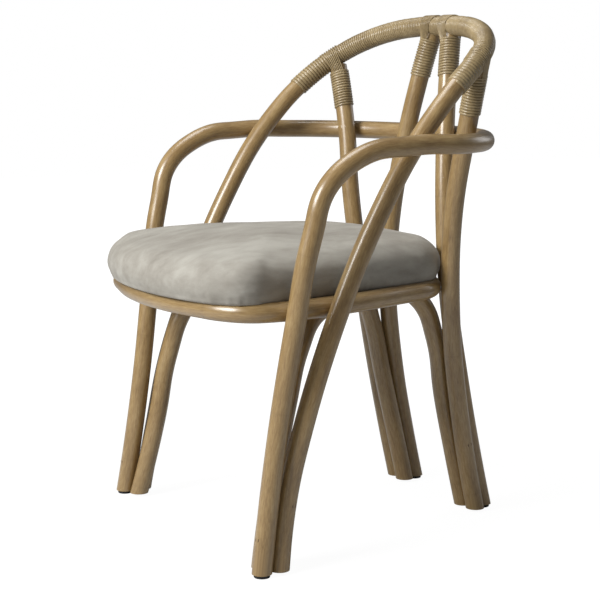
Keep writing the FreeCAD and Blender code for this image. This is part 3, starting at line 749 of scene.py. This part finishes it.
class Centreline:
    """The middle of a bent round cane, read from its node's surface."""

    step = 5 * MM
    cell = 0.7 * MM
    least_members = 8
    least_spacing = 9 * MM
    most_lean = 0.3

    def __init__(self, points: Sequence[Vector], closed: bool) -> None:
        """Keep ordered points and the lengths at which they lie.

        Args:
            points: Places in order.
            closed: Whether the last is followed by the first.
        """
        self.closed = closed
        self.points = self._smooth(points, closed)
        self.measure()

    @classmethod
    def of_node(cls, frame: Frame, node: str, radii: list[float], closed: bool) -> "Centreline":
        """Read the centreline of a cane.

        Args:
            node: The cane's node.
            radii: The radii that the cane has.
            closed: Whether the cane is a ring.

        Returns:
            The centreline.
        """
        copy = copy_of_node(frame, node, node + "_measure")
        corners = [(corner.co.copy(), corner.normal.copy()) for corner in copy.data.vertices]
        bpy.data.objects.remove(copy)
        middles: list[Vector] = []
        for radius in radii:
            middles += cls._middles(corners, radius)
        return cls(cls._in_order(middles, closed), closed)

    @classmethod
    def _middles(cls, corners: Sequence[tuple[Vector, Vector]], radius: float) -> list[Vector]:
        """Means of the groups in which corners from all round meet when moved in.

        Args:
            corners: Places and outward directions of the surface's corners.
            radius: The cane's radius, by which they move in.

        Returns:
            One point for each ring of corners.
        """
        places = [place - normal * radius for place, normal in corners]
        tree = tree_of(places)
        used: set[int] = set()
        middles: list[Vector] = []
        for index, place in enumerate(places):
            if index in used:
                continue
            group = tree.find_range(place, cls.cell)
            if len(group) < cls.least_members:
                continue
            lean = sum((corners[member][1] for _, member, _ in group), Vector()) / len(group)
            if lean.length > cls.most_lean:
                continue
            used.update(member for _, member, _ in group)
            middles.append(sum((found for found, _, _ in group), Vector()) / len(group))
        return middles

    @classmethod
    def _in_order(cls, middles: Sequence[Vector], closed: bool) -> list[Vector]:
        """Chain the points from the lowest foot, always on to the nearest one left.

        Args:
            middles: Points in any order.
            closed: Whether the chain is a ring.

        Returns:
            The points in order.
        """
        left = list(middles)
        start = min(left, key=lambda point: (round(point.z, 3), -point.x))
        chain = [start]
        left.remove(start)
        while left:
            nearest = min(left, key=lambda point: (point - chain[-1]).length)
            left.remove(nearest)
            if (nearest - chain[-1]).length > cls.least_spacing:
                chain.append(nearest)
            elif not left and not closed:
                chain[-1] = nearest
        if closed:
            chain.append(chain[0])
        return chain

    def extended(self, at_start: float, at_end: float) -> "Centreline":
        """The same line with straight runs added at its ends.

        Args:
            at_start: Metres added before its start.
            at_end: Metres added after its end.

        Returns:
            The longer line.
        """
        longer = Centreline(self.points, self.closed)
        first, second = longer.points[:2]
        if at_start > 0:
            longer.points.insert(0, first + (first - second).normalized() * at_start)
        before, last = longer.points[-2:]
        if at_end > 0:
            longer.points.append(last + (last - before).normalized() * at_end)
        longer.measure()
        return longer

    def measure(self) -> None:
        """Find the length at which each point lies."""
        self.lengths = [0.0]
        for first, second in zip(self.points, self.points[1:]):
            self.lengths.append(self.lengths[-1] + (second - first).length)
        self.length = self.lengths[-1]

    @classmethod
    def _smooth(cls, points: Sequence[Vector], closed: bool) -> list[Vector]:
        """Close, even steps along a smooth curve through the points.

        Args:
            points: Places in order.
            closed: Whether the curve is a ring.

        Returns:
            The steps.
        """
        first = points[-2] if closed else points[0] * 2 - points[1]
        last = points[1] if closed else points[-1] * 2 - points[-2]
        around = [first, *points, last]
        ways = []
        for before, here, after in zip(around, points, around[2:]):
            back, on = here - before, after - here
            ways.append((back / back.length_squared + on / on.length_squared).normalized())
        steps = [points[0].copy()]
        for start, end, leave, arrive in zip(points, points[1:], ways, ways[1:]):
            span = (end - start).length
            count = max(1, round(span / cls.step))
            for number in range(1, count + 1):
                steps.append(cls._hermite(start, leave * span, end, arrive * span, number / count))
        return steps

    @staticmethod
    def _hermite(start: Vector, leave: Vector, end: Vector, arrive: Vector, share: float) -> Vector:
        """A place on the cubic between two points with given directions.

        Args:
            start: First point.
            leave: Direction there, as long as its pull.
            end: Last point.
            arrive: Direction there, as long as its pull.
            share: Share of the way.

        Returns:
            The place.
        """
        square, cube = share * share, share**3
        return (
            start * (2 * cube - 3 * square + 1)
            + leave * (cube - 2 * square + share)
            + end * (3 * square - 2 * cube)
            + arrive * (cube - square)
        )

    def place(self, length: float) -> tuple[Vector, Vector]:
        """Point and direction at a length.

        Args:
            length: Metres from the start.

        Returns:
            The point and the direction there.
        """
        length = min(max(length, 0.0), self.length)
        high = bisect_right(self.lengths, length, 1, len(self.lengths) - 1)
        before, after = self.points[high - 1 : high + 1]
        share = (length - self.lengths[high - 1]) / (self.lengths[high] - self.lengths[high - 1])
        return before.lerp(after, share), (after - before).normalized()

    def nearest(self, target: Vector) -> float:
        """Length at which the curve passes nearest to a point."""
        distances = [(point - target).length for point in self.points]
        return self.lengths[distances.index(min(distances))]

    def curve(self, name: str) -> Piece:
        """A curve object along the centreline.

        Args:
            name: Name of the object.

        Returns:
            The curve.
        """
        deselect_all()
        bpy.ops.curve.primitive_bezier_curve_add()
        piece = bpy.context.object
        piece.name = name
        piece.data.splines.clear()
        points = self.points[:-1] if self.closed else self.points
        spline = piece.data.splines.new("POLY")
        spline.points.add(len(points) - 1)
        for target, point in zip(spline.points, points):
            target.co = (*point, 1.0)
        spline.use_cyclic_u = self.closed
        return piece


# Canes


@dataclass
class Canes:
    """Every round cane of the frame."""

    frame: Frame
    radius: float = 15 * MM
    neck_radius: float = 13 * MM
    foot_level: float = 5 * MM
    foot_zone: float = 90 * MM
    past_foot: float = 70 * MM
    grain_step: float = 1.37
    girth_steps: int = 11
    crease: float = math.radians(50)
    lines: dict[str, Centreline] = field(default_factory=dict)

    def nodes(self) -> list[str]:
        """Names of the cane nodes.

        Returns:
            The names.
        """
        names = ["arm_rail", "back_hoop", "seat_ring"]
        names += ["leg_arch_" + side.value for side in Side]
        names += ["spindle_" + label for label in SPINDLES]
        return names

    def read(self) -> None:
        """Read each cane's centreline from its node."""
        for node in self.nodes():
            necks = [self.neck_radius] * node.startswith(("back", "spindle"))
            radii = [self.radius, *necks]
            self.lines[node] = Centreline.of_node(self.frame, node, radii, node == "seat_ring")
            LOG.info("%s: %.0f mm long", node, self.lines[node].length / MM)

    def build(self, material: Material) -> None:
        """Model and dress the canes in their finish."""
        for number, node in enumerate(self.nodes()):
            dress(self.cane(node, number), material, "cane", node)

    def cane(self, node: str, number: int) -> Piece:
        """Model one cane, cut level at the glides.

        Args:
            node: The cane's node.
            number: The cane's number, which sets where its grain starts.

        Returns:
            The cane.
        """
        line = self.lines[node]
        ends = (line.points[0], line.points[-1])
        feet = [not line.closed and end.z < self.foot_zone for end in ends]
        line = line.extended(feet[0] * self.past_foot, feet[1] * self.past_foot)
        piece = line.curve(node + "_cane")
        piece.data.bevel_depth = self.radius
        piece.data.bevel_resolution = self.girth_steps
        piece.data.use_fill_caps = True
        only(piece)
        bpy.ops.object.convert(target="MESH")
        piece = bpy.context.object
        for corner in piece.data.uv_layers[0].data:
            corner.uv.x = corner.uv.x * line.length + number * self.grain_step
        with editing(piece):
            bpy.ops.mesh.bisect(
                plane_co=(0.0, 0.0, self.foot_level), plane_no=UP, use_fill=True, clear_inner=True
            )
        bpy.ops.object.shade_smooth_by_angle(angle=self.crease)
        return piece


# Glides


@dataclass
class Glides:
    """The black glides under the four canes that reach the floor."""

    frame: Frame
    node: str = "foot_glides"
    thickness: float = 5 * MM
    rim: float = 0.9 * MM
    rim_steps: int = 3
    girth_steps: int = 40
    crease: float = math.radians(40)

    def build(self, material: Material) -> None:
        """Model and dress the glides.

        Args:
            material: Their finish.
        """
        low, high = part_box(self.node)
        middle = (low + high) / 2
        groups: dict[tuple[bool, bool], list[Vector]] = {}
        for corner in self.frame["nodes"][self.node].data.vertices:
            quarter = (corner.co.x > middle.x, corner.co.y > middle.y)
            groups.setdefault(quarter, []).append(corner.co.copy())
        made = [self.glide(groups[quarter]) for quarter in sorted(groups)]
        dress(joined(made, self.node + "_discs"), material, "glide", self.node)

    def glide(self, corners: Sequence[Vector]) -> Piece:
        """Model one glide.

        Args:
            corners: Places on the node's glide.

        Returns:
            The glide.
        """
        low = Vector((min(corner.x for corner in corners), min(corner.y for corner in corners)))
        high = Vector((max(corner.x for corner in corners), max(corner.y for corner in corners)))
        deselect_all()
        bpy.ops.mesh.primitive_cylinder_add(
            vertices=self.girth_steps,
            radius=(high.x - low.x) / 2,
            depth=self.thickness,
            location=(*(low + high) / 2, self.thickness / 2),
        )
        piece = bpy.context.object
        bpy.ops.object.transform_apply(location=True, rotation=True, scale=True)
        add_modifier(piece, "rim", "BEVEL", width=self.rim, segments=self.rim_steps)
        apply_modifiers(piece)
        bpy.ops.object.shade_smooth_by_angle(angle=self.crease)
        return piece


# Bindings of cane peel


@dataclass(frozen=True)
class Strip:
    """How a strip of peel lies in a winding."""

    pitch: float
    thickness: float
    crest: float
    wobble: float
    girth_steps: int = 28


@dataclass
class Bindings:
    """The wound peel on the hoop and at the top of each spindle."""

    canes: Canes
    ridged: Strip = Strip(4.5 * MM, 3.4 * MM, 17.1 * MM, 0.1 * MM)
    hoop_ridged: Strip = Strip(5.4 * MM, 3.4 * MM, 17.1 * MM, 0.12 * MM)
    medium: Strip = Strip(4.7 * MM, 2.7 * MM, 16.8 * MM, 0.2 * MM, 24)
    flat: Strip = Strip(4.3 * MM, 1.9 * MM, 16.45 * MM, 0.25 * MM, 24)
    section_corners: int = 14
    bound_half_length: float = 325 * MM
    hoop_turns: int = 13
    spindle_turns: int = 14
    medium_turns: int = 34
    drop: float = 12 * MM
    cover: float = 0.465
    shift_noise: tuple[float, float, float] = (0.83, 1.3, 0.0)
    lift_noise: tuple[float, float, float] = (0.71, 1.1, 7.0)
    seed_scale: float = 90.0
    shift_share: float = 2.0
    strands: int = 8
    strand_cover: float = 0.42
    strand_width: float = 3.5 * MM
    strand_height: float = 1.3 * MM
    strand_rise: float = 0.2 * MM
    strand_steps: int = 4
    hang_reach: float = 60 * MM
    leg_radius: float = 15.3 * MM
    leg_drops: tuple[float, ...] = (22 * MM, 18.5 * MM, 15 * MM)
    leg_spreads: tuple[float, ...] = (0.74, 0.78, 0.84)
    arc_end: int = 96
    arc_step: int = 12
    arc_spread: float = 0.94
    top_spread: float = 0.3

    def build(self, material: Material) -> None:
        """Model and dress every binding.

        Args:
            material: The peel's finish.
        """
        self.hoop_bindings(material)
        for label in SPINDLES:
            self.spindle_binding(label, material)
            self.saddle(label, material)

    def winding(self, name: str, line: Centreline, start: float, strip: Strip, turns: int) -> Piece:
        """Wind one unbroken strip round a stretch of cane.

        Args:
            name: Name of the piece.
            line: The cane's centreline.
            start: Length along the cane at which it begins.
            strip: The strip of peel.
            turns: Number of turns.

        Returns:
            The winding.
        """
        deselect_all()
        bpy.ops.mesh.primitive_circle_add(
            vertices=self.section_corners, radius=1.0, rotation=(math.pi / 2, 0.0, 0.0)
        )
        piece = bpy.context.object
        piece.name = name
        piece.scale = (strip.pitch * self.cover, strip.thickness / 2, 1.0)
        bpy.ops.object.transform_apply(location=True, rotation=True, scale=True)
        middle = strip.crest - strip.thickness / 2
        for corner in piece.data.vertices:
            corner.co = Vector((corner.co.x, 0.0, corner.co.z + middle))
        steps = {"steps": strip.girth_steps, "render_steps": strip.girth_steps}
        screw = {"axis": "X", "screw_offset": strip.pitch, "iterations": turns}
        add_modifier(piece, "turns", "SCREW", use_smooth_shade=True, **screw, **steps)
        apply_modifiers(piece)
        for corner in piece.data.vertices:
            turn = corner.co.x / strip.pitch
            swing = math.atan2(corner.co.y, corner.co.z) / math.pi
            shift, lift = (
                noise.noise(Vector((turn * along, swing * around, start * self.seed_scale + seed)))
                for along, around, seed in (self.shift_noise, self.lift_noise)
            )
            corner.co.x += start + shift * strip.wobble * self.shift_share
            corner.co.y *= 1 + lift * strip.wobble / strip.crest
            corner.co.z *= 1 + lift * strip.wobble / strip.crest
        path = line.curve(name + "_path")
        add_modifier(piece, "bend", "CURVE", object=path, deform_axis="POS_X")
        apply_modifiers(piece)
        bpy.data.objects.remove(path)
        with editing(piece, "DESELECT"):
            bpy.ops.mesh.select_mode(type="EDGE")
            bpy.ops.mesh.select_non_manifold(extend=False)
            bpy.ops.mesh.edge_face_add()
            bpy.ops.mesh.select_all(action="SELECT")
            bpy.ops.mesh.normals_make_consistent(inside=False)
        bpy.ops.object.shade_smooth()
        return piece

    def hoop_bindings(self, material: Material) -> None:
        """Ridged turns at both ends of the bound hoop, flatter ones between them.

        Args:
            material: The peel's finish.
        """
        hoop = self.canes.lines["back_hoop"]
        left_first = hoop.place(hoop.length / 4)[0].x > 0
        low = hoop.length / 2 - self.bound_half_length
        high = hoop.length / 2 + self.bound_half_length
        ridged_length = self.hoop_turns * self.hoop_ridged.pitch
        medium_length = self.medium_turns * self.medium.pitch
        flat_start = low + ridged_length
        flat_end = high - ridged_length - medium_length
        flat_turns = round((flat_end - flat_start) / self.flat.pitch)
        medium_start = flat_start + flat_turns * self.flat.pitch
        last_start = high - ridged_length
        names = ("hoop_binding_left", "hoop_binding_right")
        first, last = names if left_first else reversed(names)
        windings = (
            (first, low, self.hoop_ridged, self.hoop_turns, (first,)),
            (last, last_start, self.hoop_ridged, self.hoop_turns, (last,)),
            ("crown_binding_flat", flat_start, self.flat, flat_turns, ("crown_binding",)),
            ("crown_binding_ridged", medium_start, self.medium, self.medium_turns, ()),
        )
        for name, start, strip, turns, replaced in windings:
            piece = self.winding(name + "_peel", hoop, start, strip, turns)
            dress(piece, material, "peel", *replaced)

    def top_end(self, line: Centreline) -> tuple[float, float]:
        """Length of a spindle's top end, and the sign in which length falls away from it.

        Args:
            line: The centreline.

        Returns:
            The length and the sign.
        """
        if line.points[0].z > line.points[-1].z:
            return 0.0, 1.0
        return line.length, -1.0

    def spindle_binding(self, label: str, material: Material) -> None:
        """The ridged turns below a spindle's top end.

        Args:
            label: Name of the spindle.
            material: The peel's finish.
        """
        line = self.canes.lines["spindle_" + label]
        top, away = self.top_end(line)
        length = self.spindle_turns * self.ridged.pitch
        start = top + self.drop if away > 0 else top - self.drop - length
        name = "spindle_binding_" + label
        piece = self.winding(name + "_peel", line, start, self.ridged, self.spindle_turns)
        dress(piece, material, "peel", name)

    def saddle(self, label: str, material: Material) -> None:
        """The strands that tie a spindle over the hoop, one beside the other.

        Args:
            label: Name of the spindle.
            material: The peel's finish.
        """
        made = []
        for number in range(self.strands):
            offset = (number - (self.strands - 1) / 2) * self.strand_width
            made.append(self.strand(label, offset))
        piece = joined(made, "saddle_strands_%s_peel" % label)
        bpy.ops.object.shade_smooth()
        dress(piece, material, "peel", "saddle_strands_" + label)

    def strand_stations(self, label: str, offset: float) -> list[tuple[Vector, Vector, Vector]]:
        """Places of one strand from behind the spindle, over the hoop, to its front.

        Args:
            label: Name of the spindle.
            offset: The strand's place beside the middle one.

        Returns:
            Point, outward and sideways direction at each place, the last of them
            shorter where the strand is drawn in.
        """
        hoop = self.canes.lines["back_hoop"]
        spindle = self.canes.lines["spindle_" + label]
        top, away = self.top_end(spindle)
        joint = hoop.nearest(spindle.place(top)[0])
        centre, way = hoop.place(joint)
        hang = (spindle.place(top + away * self.hang_reach)[0] - centre).normalized()
        over = (hang - way * hang.dot(way)).normalized() * -1
        front = way.cross(over)
        if front.y > 0:
            front = front * -1
        crest = self.medium.crest + self.strand_rise
        side = (way - hang * way.dot(hang)).normalized()
        forward = (front - hang * front.dot(hang) - side * front.dot(side)).normalized()
        legs = []
        for facing in (forward * -1, forward):
            leg = []
            for drop, spread in zip(self.leg_drops, self.leg_spreads):
                middle, _ = spindle.place(top + away * drop)
                turn = offset * spread / crest
                out = facing * math.cos(turn) + side * math.sin(turn)
                sideways = side * math.cos(turn) - facing * math.sin(turn)
                leg.append((middle + out * self.leg_radius, out, sideways * spread))
            legs.append(leg)
        arc = []
        for degrees in range(-self.arc_end, self.arc_end + 1, self.arc_step):
            angle = math.radians(degrees)
            spread = self.arc_spread + self.top_spread * math.cos(angle)
            point, local = hoop.place(joint + offset * spread)
            rise = (over - local * over.dot(local)).normalized()
            ahead = (front - local * front.dot(local)).normalized()
            out = rise * math.cos(angle) + ahead * math.sin(angle)
            arc.append((point + out * crest, out, local * min(1.0, spread)))
        return legs[0] + arc + legs[1][::-1]

    def strand(self, label: str, offset: float) -> Piece:
        """Model one strand of a saddle.

        Args:
            label: Name of the spindle.
            offset: The strand's place beside the middle one.

        Returns:
            The strand.
        """
        stations = self.strand_stations(label, offset)
        steps = len(stations) - 1
        deselect_all()
        bpy.ops.mesh.primitive_grid_add(
            x_subdivisions=steps, y_subdivisions=self.strand_steps, size=1.0
        )
        piece = bpy.context.object
        for corner in piece.data.vertices:
            share = corner.co.y * 2
            point, out, sideways = stations[round((corner.co.x + 0.5) * steps)]
            dome = self.strand_height * (1 - share * share)
            aside = share * self.strand_width * self.strand_cover
            corner.co = point + out * dome + sideways * aside
        add_modifier(piece, "shell", "SOLIDIFY", thickness=self.strand_height, offset=-1.0)
        add_modifier(piece, "smooth", "SUBSURF", levels=1, render_levels=1)
        apply_modifiers(piece)
        with editing(piece):
            bpy.ops.mesh.normals_make_consistent(inside=False)
        return piece


# Upholstered seat


@dataclass
class SeatCushion:
    """The velvet cushion: its cover swells over the foam and is drawn in under the board."""

    frame: Frame
    ring: Centreline
    voxel: float = 5 * MM
    drawn_in: float = 1.5 * MM
    pinned_height: float = 5 * MM
    quality: int = 6
    tension: float = 18.0
    shear: float = 8.0
    bending: float = 1.2
    pressure: float = 4.0
    last_step: int = 20
    most_swell: float = 3.5 * MM
    free_height: float = 14 * MM
    relax_share: float = 0.5
    relax_steps: int = 12
    plan_growth: float = 1.048
    sag: float = 7.5 * MM
    sag_height: float = 32 * MM
    sag_band: float = 25 * MM
    rim_share: float = 1.25
    tuck_height: float = 7 * MM
    tuck_depth: float = 8 * MM
    front_drop: float = 11 * MM
    front_from: float = 130 * MM
    front_run: float = 170 * MM
    gather_level: float = 5 * MM
    gather_height: float = 16 * MM
    gather_depth: float = 1.3 * MM
    gather_centre: float = 50 * MM
    fold_scale: float = 26.0
    patch_scale: float = 5.0
    patch_seed: float = 4.0
    least_fold: float = 0.6
    patch_fold: float = 2.4
    uneven_scales: tuple[tuple[float, float], ...] = ((17.0, 1.0), (39.0, 0.5))
    uneven_depth: float = 0.5 * MM
    uneven_from: float = 20 * MM
    base_band: float = 6 * MM
    base_slope: float = -0.8
    outline_step: float = 3.0

    def build(self, material: Material) -> None:
        """Model and dress the cushion.

        Args:
            material: The velvet.
        """
        self.low, self.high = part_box("cushion_cover")
        self.middle = (self.low + self.high) / 2
        self.tree = tree_of(self.ring.points)
        piece = self.blank()
        self.swell(piece)
        self.smooth(piece)
        normals = [corner.normal.copy() for corner in piece.data.vertices]
        for corner, normal in zip(piece.data.vertices, normals):
            self.settle(corner, normal)
        self.open_base(piece)
        only(piece)
        bpy.ops.object.shade_smooth()
        dress(piece, material, "velvet", "cushion_cover", "cushion_core")

    def blank(self) -> Piece:
        """The cushion's closed form before it swells.

        Returns:
            The mesh object.
        """
        piece = copy_of_node(self.frame, "cushion_cover", "seat_cushion")
        with editing(piece):
            bpy.ops.mesh.convex_hull()
        piece.data.remesh_voxel_size = self.voxel
        bpy.ops.object.voxel_remesh()
        normals = [corner.normal.copy() for corner in piece.data.vertices]
        for corner, normal in zip(piece.data.vertices, normals):
            if corner.co.z > self.low.z + self.pinned_height:
                corner.co -= normal * self.drawn_in
        return piece

    @staticmethod
    def mark(piece: Piece, name: str, shares: Sequence[float]) -> None:
        """Keep a share for each corner in a vertex group.

        Args:
            piece: The cushion.
            name: Name of the group.
            shares: The shares, in the corners' order.
        """
        group = piece.vertex_groups.new(name=name)
        for index, share in enumerate(shares):
            if share > 0:
                group.add([index], share, "REPLACE")

    def swell(self, piece: Piece) -> None:
        """Let the cover swell under pressure, held at its lower edge.

        Args:
            piece: The cushion's closed form.
        """
        before = [corner.co.copy() for corner in piece.data.vertices]
        shares = [1.0 - clamp((place.z - self.low.z) / self.pinned_height) for place in before]
        self.mark(piece, "held", shares)
        only(piece)
        cloth = piece.modifiers.new("swell", "CLOTH")
        settings = {
            "quality": self.quality,
            "tension_stiffness": self.tension,
            "compression_stiffness": self.tension,
            "shear_stiffness": self.shear,
            "bending_stiffness": self.bending,
            "use_pressure": True,
            "uniform_pressure_force": self.pressure,
            "vertex_group_mass": "held",
        }
        for name, setting in settings.items():
            setattr(cloth.settings, name, setting)
        cloth.settings.effector_weights.gravity = 0.0
        scene = bpy.context.scene
        for step in range(1, self.last_step + 1):
            scene.frame_set(step)
        bpy.ops.object.modifier_apply(modifier=cloth.name)
        scene.frame_set(1)
        for corner, start in zip(piece.data.vertices, before):
            moved = corner.co - start
            if moved.length > self.most_swell:
                corner.co = start + moved.normalized() * self.most_swell
        piece.vertex_groups.clear()

    def smooth(self, piece: Piece) -> None:
        """Relax the cover and refine it once.

        Args:
            piece: The cushion.
        """
        level = self.low.z + self.voxel
        shares = [clamp((corner.co.z - level) / self.free_height) for corner in piece.data.vertices]
        self.mark(piece, "free", shares)
        relax = {"factor": self.relax_share, "iterations": self.relax_steps}
        add_modifier(piece, "relax", "SMOOTH", vertex_group="free", **relax)
        add_modifier(piece, "fine", "SUBSURF", levels=1, render_levels=1)
        apply_modifiers(piece)

    def settle(self, corner: bpy.types.MeshVertex, normal: Vector) -> None:
        """Move a corner to its place on the used cushion.

        The rim rolls over the ring and tucks in below, the front drops, small gathers run
        round the edge and the top is faintly uneven.

        Args:
            corner: The corner.
            normal: Its outward direction.
        """
        middle = self.middle
        height = corner.co.z - self.low.z
        corner.co.x = middle.x + (corner.co.x - middle.x) * self.plan_growth
        corner.co.y = middle.y + (corner.co.y - middle.y) * self.plan_growth
        outward = Vector((normal.x, normal.y, 0.0))
        corner.co -= outward * self.gather(corner.co, height)
        rim = clamp(self.rim_share + self.beyond_ring(corner.co) / self.sag_band)
        corner.co.z -= self.sag * rim * max(0.0, 1 - height / self.sag_height)
        tuck = max(0.0, 1 - height / self.tuck_height)
        away = Vector((corner.co.x - middle.x, corner.co.y - middle.y, 0.0)).normalized()
        corner.co -= away * (self.tuck_depth * tuck * tuck)
        front = clamp((-corner.co.y - self.front_from) / self.front_run)
        whole = self.high.z - self.low.z
        corner.co.z -= self.front_drop * front * front * max(0.0, height) / whole
        uneven = sum(share * noise.noise(corner.co * scale) for scale, share in self.uneven_scales)
        corner.co += normal * (uneven * self.uneven_depth * clamp(height / self.uneven_from))

    def gather(self, place: Vector, height: float) -> float:
        """Depth of the gathers at a place.

        Args:
            place: The place.
            height: Its height over the cover's base.

        Returns:
            Metres inward, negative outward.
        """
        bearing = math.atan2(place.y + self.gather_centre, place.x)
        way = Vector((math.cos(bearing), math.sin(bearing), 0.0))
        fade = max(0.0, 1 - abs(height - self.gather_level) / self.gather_height)
        folds = noise.noise(way * self.fold_scale)
        patch = noise.noise(way * self.patch_scale + UP * self.patch_seed)
        strength = self.least_fold + max(0.0, patch) * self.patch_fold
        return self.gather_depth * fade * folds * strength

    def beyond_ring(self, place: Vector) -> float:
        """How far a place lies outside the ring's centreline, seen from above.

        Args:
            place: The place.

        Returns:
            Metres, negative inside the ring.
        """
        target = Vector((place.x, place.y, self.ring.points[0].z))
        nearest = self.ring.points[self.tree.find(target)[1]]
        return (place - self.middle).xy.length - (nearest - self.middle).xy.length

    def open_base(self, piece: Piece) -> None:
        """Take away the middle of the base, where the dust cloth shows, and turn its rim up.

        Args:
            piece: The cushion.
        """
        level = self.low.z
        _, cloth_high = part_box("dust_cloth")
        outline = self.outline_of("dust_cloth")
        with editing(piece, "DESELECT"):
            bpy.ops.mesh.select_mode(type="FACE")
        for face in piece.data.polygons:
            flat = face.normal.z < self.base_slope and face.center.z < level + self.base_band
            face.select = flat and self.inside(face.center, outline)
        bpy.ops.object.mode_set(mode="EDIT")
        bpy.ops.mesh.delete(type="FACE")
        bpy.ops.mesh.select_mode(type="EDGE")
        bpy.ops.mesh.select_non_manifold(extend=False)
        lift = (0.0, 0.0, cloth_high.z - level)
        bpy.ops.mesh.extrude_edges_move(TRANSFORM_OT_translate={"value": lift})
        bpy.ops.object.mode_set(mode="OBJECT")

    def outline_of(self, node: str) -> list[Vector]:
        """Corners of a flat node seen from above, in order round its middle.

        Args:
            node: The node's name.

        Returns:
            The outermost corner in each direction.
        """
        low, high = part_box(node)
        middle = (low + high) / 2
        reach: dict[int, Vector] = {}
        for corner in self.frame["nodes"][node].data.vertices:
            degrees = math.degrees(math.atan2(corner.co.y - middle.y, corner.co.x - middle.x))
            bearing = round(degrees / self.outline_step)
            best = reach.get(bearing)
            if best is None or (corner.co - middle).xy.length > (best - middle).xy.length:
                reach[bearing] = corner.co.copy()
        return [reach[bearing] for bearing in sorted(reach)]

    @staticmethod
    def inside(place: Vector, outline: Sequence[Vector]) -> bool:
        """Whether a place lies inside an outline seen from above.

        Args:
            place: The place.
            outline: Corners of the outline.

        Returns:
            True if it does.
        """
        within = False
        previous = outline[-1]
        for corner in outline:
            if (corner.y > place.y) != (previous.y > place.y):
                share = (place.y - corner.y) / (previous.y - corner.y)
                if place.x < corner.x + share * (previous.x - corner.x):
                    within = not within
            previous = corner
        return within


# Studio


@dataclass(frozen=True)
class Lamp:
    """A soft square lamp, placed as the camera sees the seat."""

    name: str
    across: float
    height: float
    towards: float
    size: float
    power: float


@dataclass
class Studio:
    """Camera, lamps, floor and world."""

    azimuth: float = math.radians(60.909)
    elevation: float = math.radians(8.8145)
    roll: float = math.radians(0.3289)
    distance: float = 2568.9 * MM
    focal_length: float = 94.5576
    sensor: float = 36.0
    target_across: float = -34.226 * MM
    target_height: float = 354.36 * MM
    target_back: float = 28.386 * MM
    floor_size: float = 14.0
    surround_light: float = 0.145
    lamp_target: Vector = field(default_factory=lambda: Vector((0.0, 0.0, 450 * MM)))
    lamps: tuple[Lamp, ...] = (
        Lamp("key_lamp", -2.3, 2.1, 1.7, 1.2, 120.0),
        Lamp("top_lamp", -0.5, 3.0, -0.2, 1.4, 34.0),
        Lamp("rim_lamp", 2.4, 1.4, -1.6, 1.2, 8.0),
    )

    def axes(self) -> tuple[Vector, Vector, Vector]:
        """Right, up and back of the camera before its roll.

        Returns:
            The three directions.
        """
        turn, rise = self.azimuth, self.elevation
        flat = math.cos(rise)
        back = Vector((math.sin(turn) * flat, -math.cos(turn) * flat, math.sin(rise)))
        right = Vector((math.cos(turn), math.sin(turn), 0.0))
        return right, back.cross(right), back

    def build(self) -> None:
        """Set up everything around the chair."""
        self.camera()
        self.floor()
        for lamp in self.lamps:
            self.light(lamp)
        self.world()
        bpy.context.scene.view_settings.view_transform = "Standard"

    def camera(self) -> None:
        """The camera at the photograph's viewing angle."""
        right, up, back = self.axes()
        across = right * math.cos(self.roll) + up * math.sin(self.roll)
        upward = up * math.cos(self.roll) - right * math.sin(self.roll)
        target = right * self.target_across + Vector((0.0, self.target_back, self.target_height))
        data = bpy.data.cameras.new("camera")
        data.lens = self.focal_length
        data.sensor_width = self.sensor
        camera = bpy.data.objects.new("camera", data)
        columns = Matrix((across, upward, back)).transposed().to_4x4()
        camera.matrix_world = Matrix.Translation(target + back * self.distance) @ columns
        bpy.context.scene.collection.objects.link(camera)
        bpy.context.scene.camera = camera

    def floor(self) -> None:
        """A plain pale floor."""
        deselect_all()
        bpy.ops.mesh.primitive_plane_add(size=self.floor_size, location=(0.0, 0.0, 0.0))
        floor = bpy.context.object
        floor.name = "floor"
        floor.data.materials.append(FloorFinish().material())

    def light(self, lamp: Lamp) -> None:
        """Set up one lamp that faces the seat.

        Args:
            lamp: The lamp.
        """
        right, _, view = self.axes()
        towards = Vector((view.x, view.y, 0.0)).normalized()
        place = right * lamp.across + towards * lamp.towards + UP * lamp.height
        data = bpy.data.lights.new(lamp.name, "AREA")
        data.shape = "SQUARE"
        data.size = lamp.size
        data.energy = lamp.power
        light = bpy.data.objects.new(lamp.name, data)
        light.location = place
        light.rotation_euler = (place - self.lamp_target).to_track_quat("Z", "Y").to_euler()
        bpy.context.scene.collection.objects.link(light)

    def world(self) -> None:
        """A white surround that lights the chair only weakly."""
        world = bpy.data.worlds.new("surround")
        bpy.context.scene.world = world
        shader = Shader(world)
        seen = shader.add("ShaderNodeLightPath").outputs["Is Camera Ray"]
        limits = {"Value": seen, "To Min": self.surround_light, "To Max": 1.0}
        strength = shader.add("ShaderNodeMapRange", None, limits).outputs[0]
        light = shader.add("ShaderNodeBackground", None, {"Color": WHITE, "Strength": strength})
        shader.add("ShaderNodeOutputWorld", None, {"Surface": light.outputs[0]})


def main() -> None:
    """Build the chair's looks in order."""
    logging.basicConfig(level=logging.INFO, format="%(message)s")
    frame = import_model()
    Studio().build()
    materials = {slot: finish.material() for slot, finish in FINISHES.items()}
    canes = Canes(frame)
    canes.read()
    canes.build(materials["cane"])
    Glides(frame).build(materials["glide"])
    Bindings(canes).build(materials["peel"])
    SeatCushion(frame, canes.lines["seat_ring"]).build(materials["velvet"])
    for part in frame["record"]["subparts"]:
        data = frame["nodes"][part["node"]].data
        data.materials.clear()
        data.materials.append(materials[part["material_slot"]])


if __name__ == "__main__":
    main()
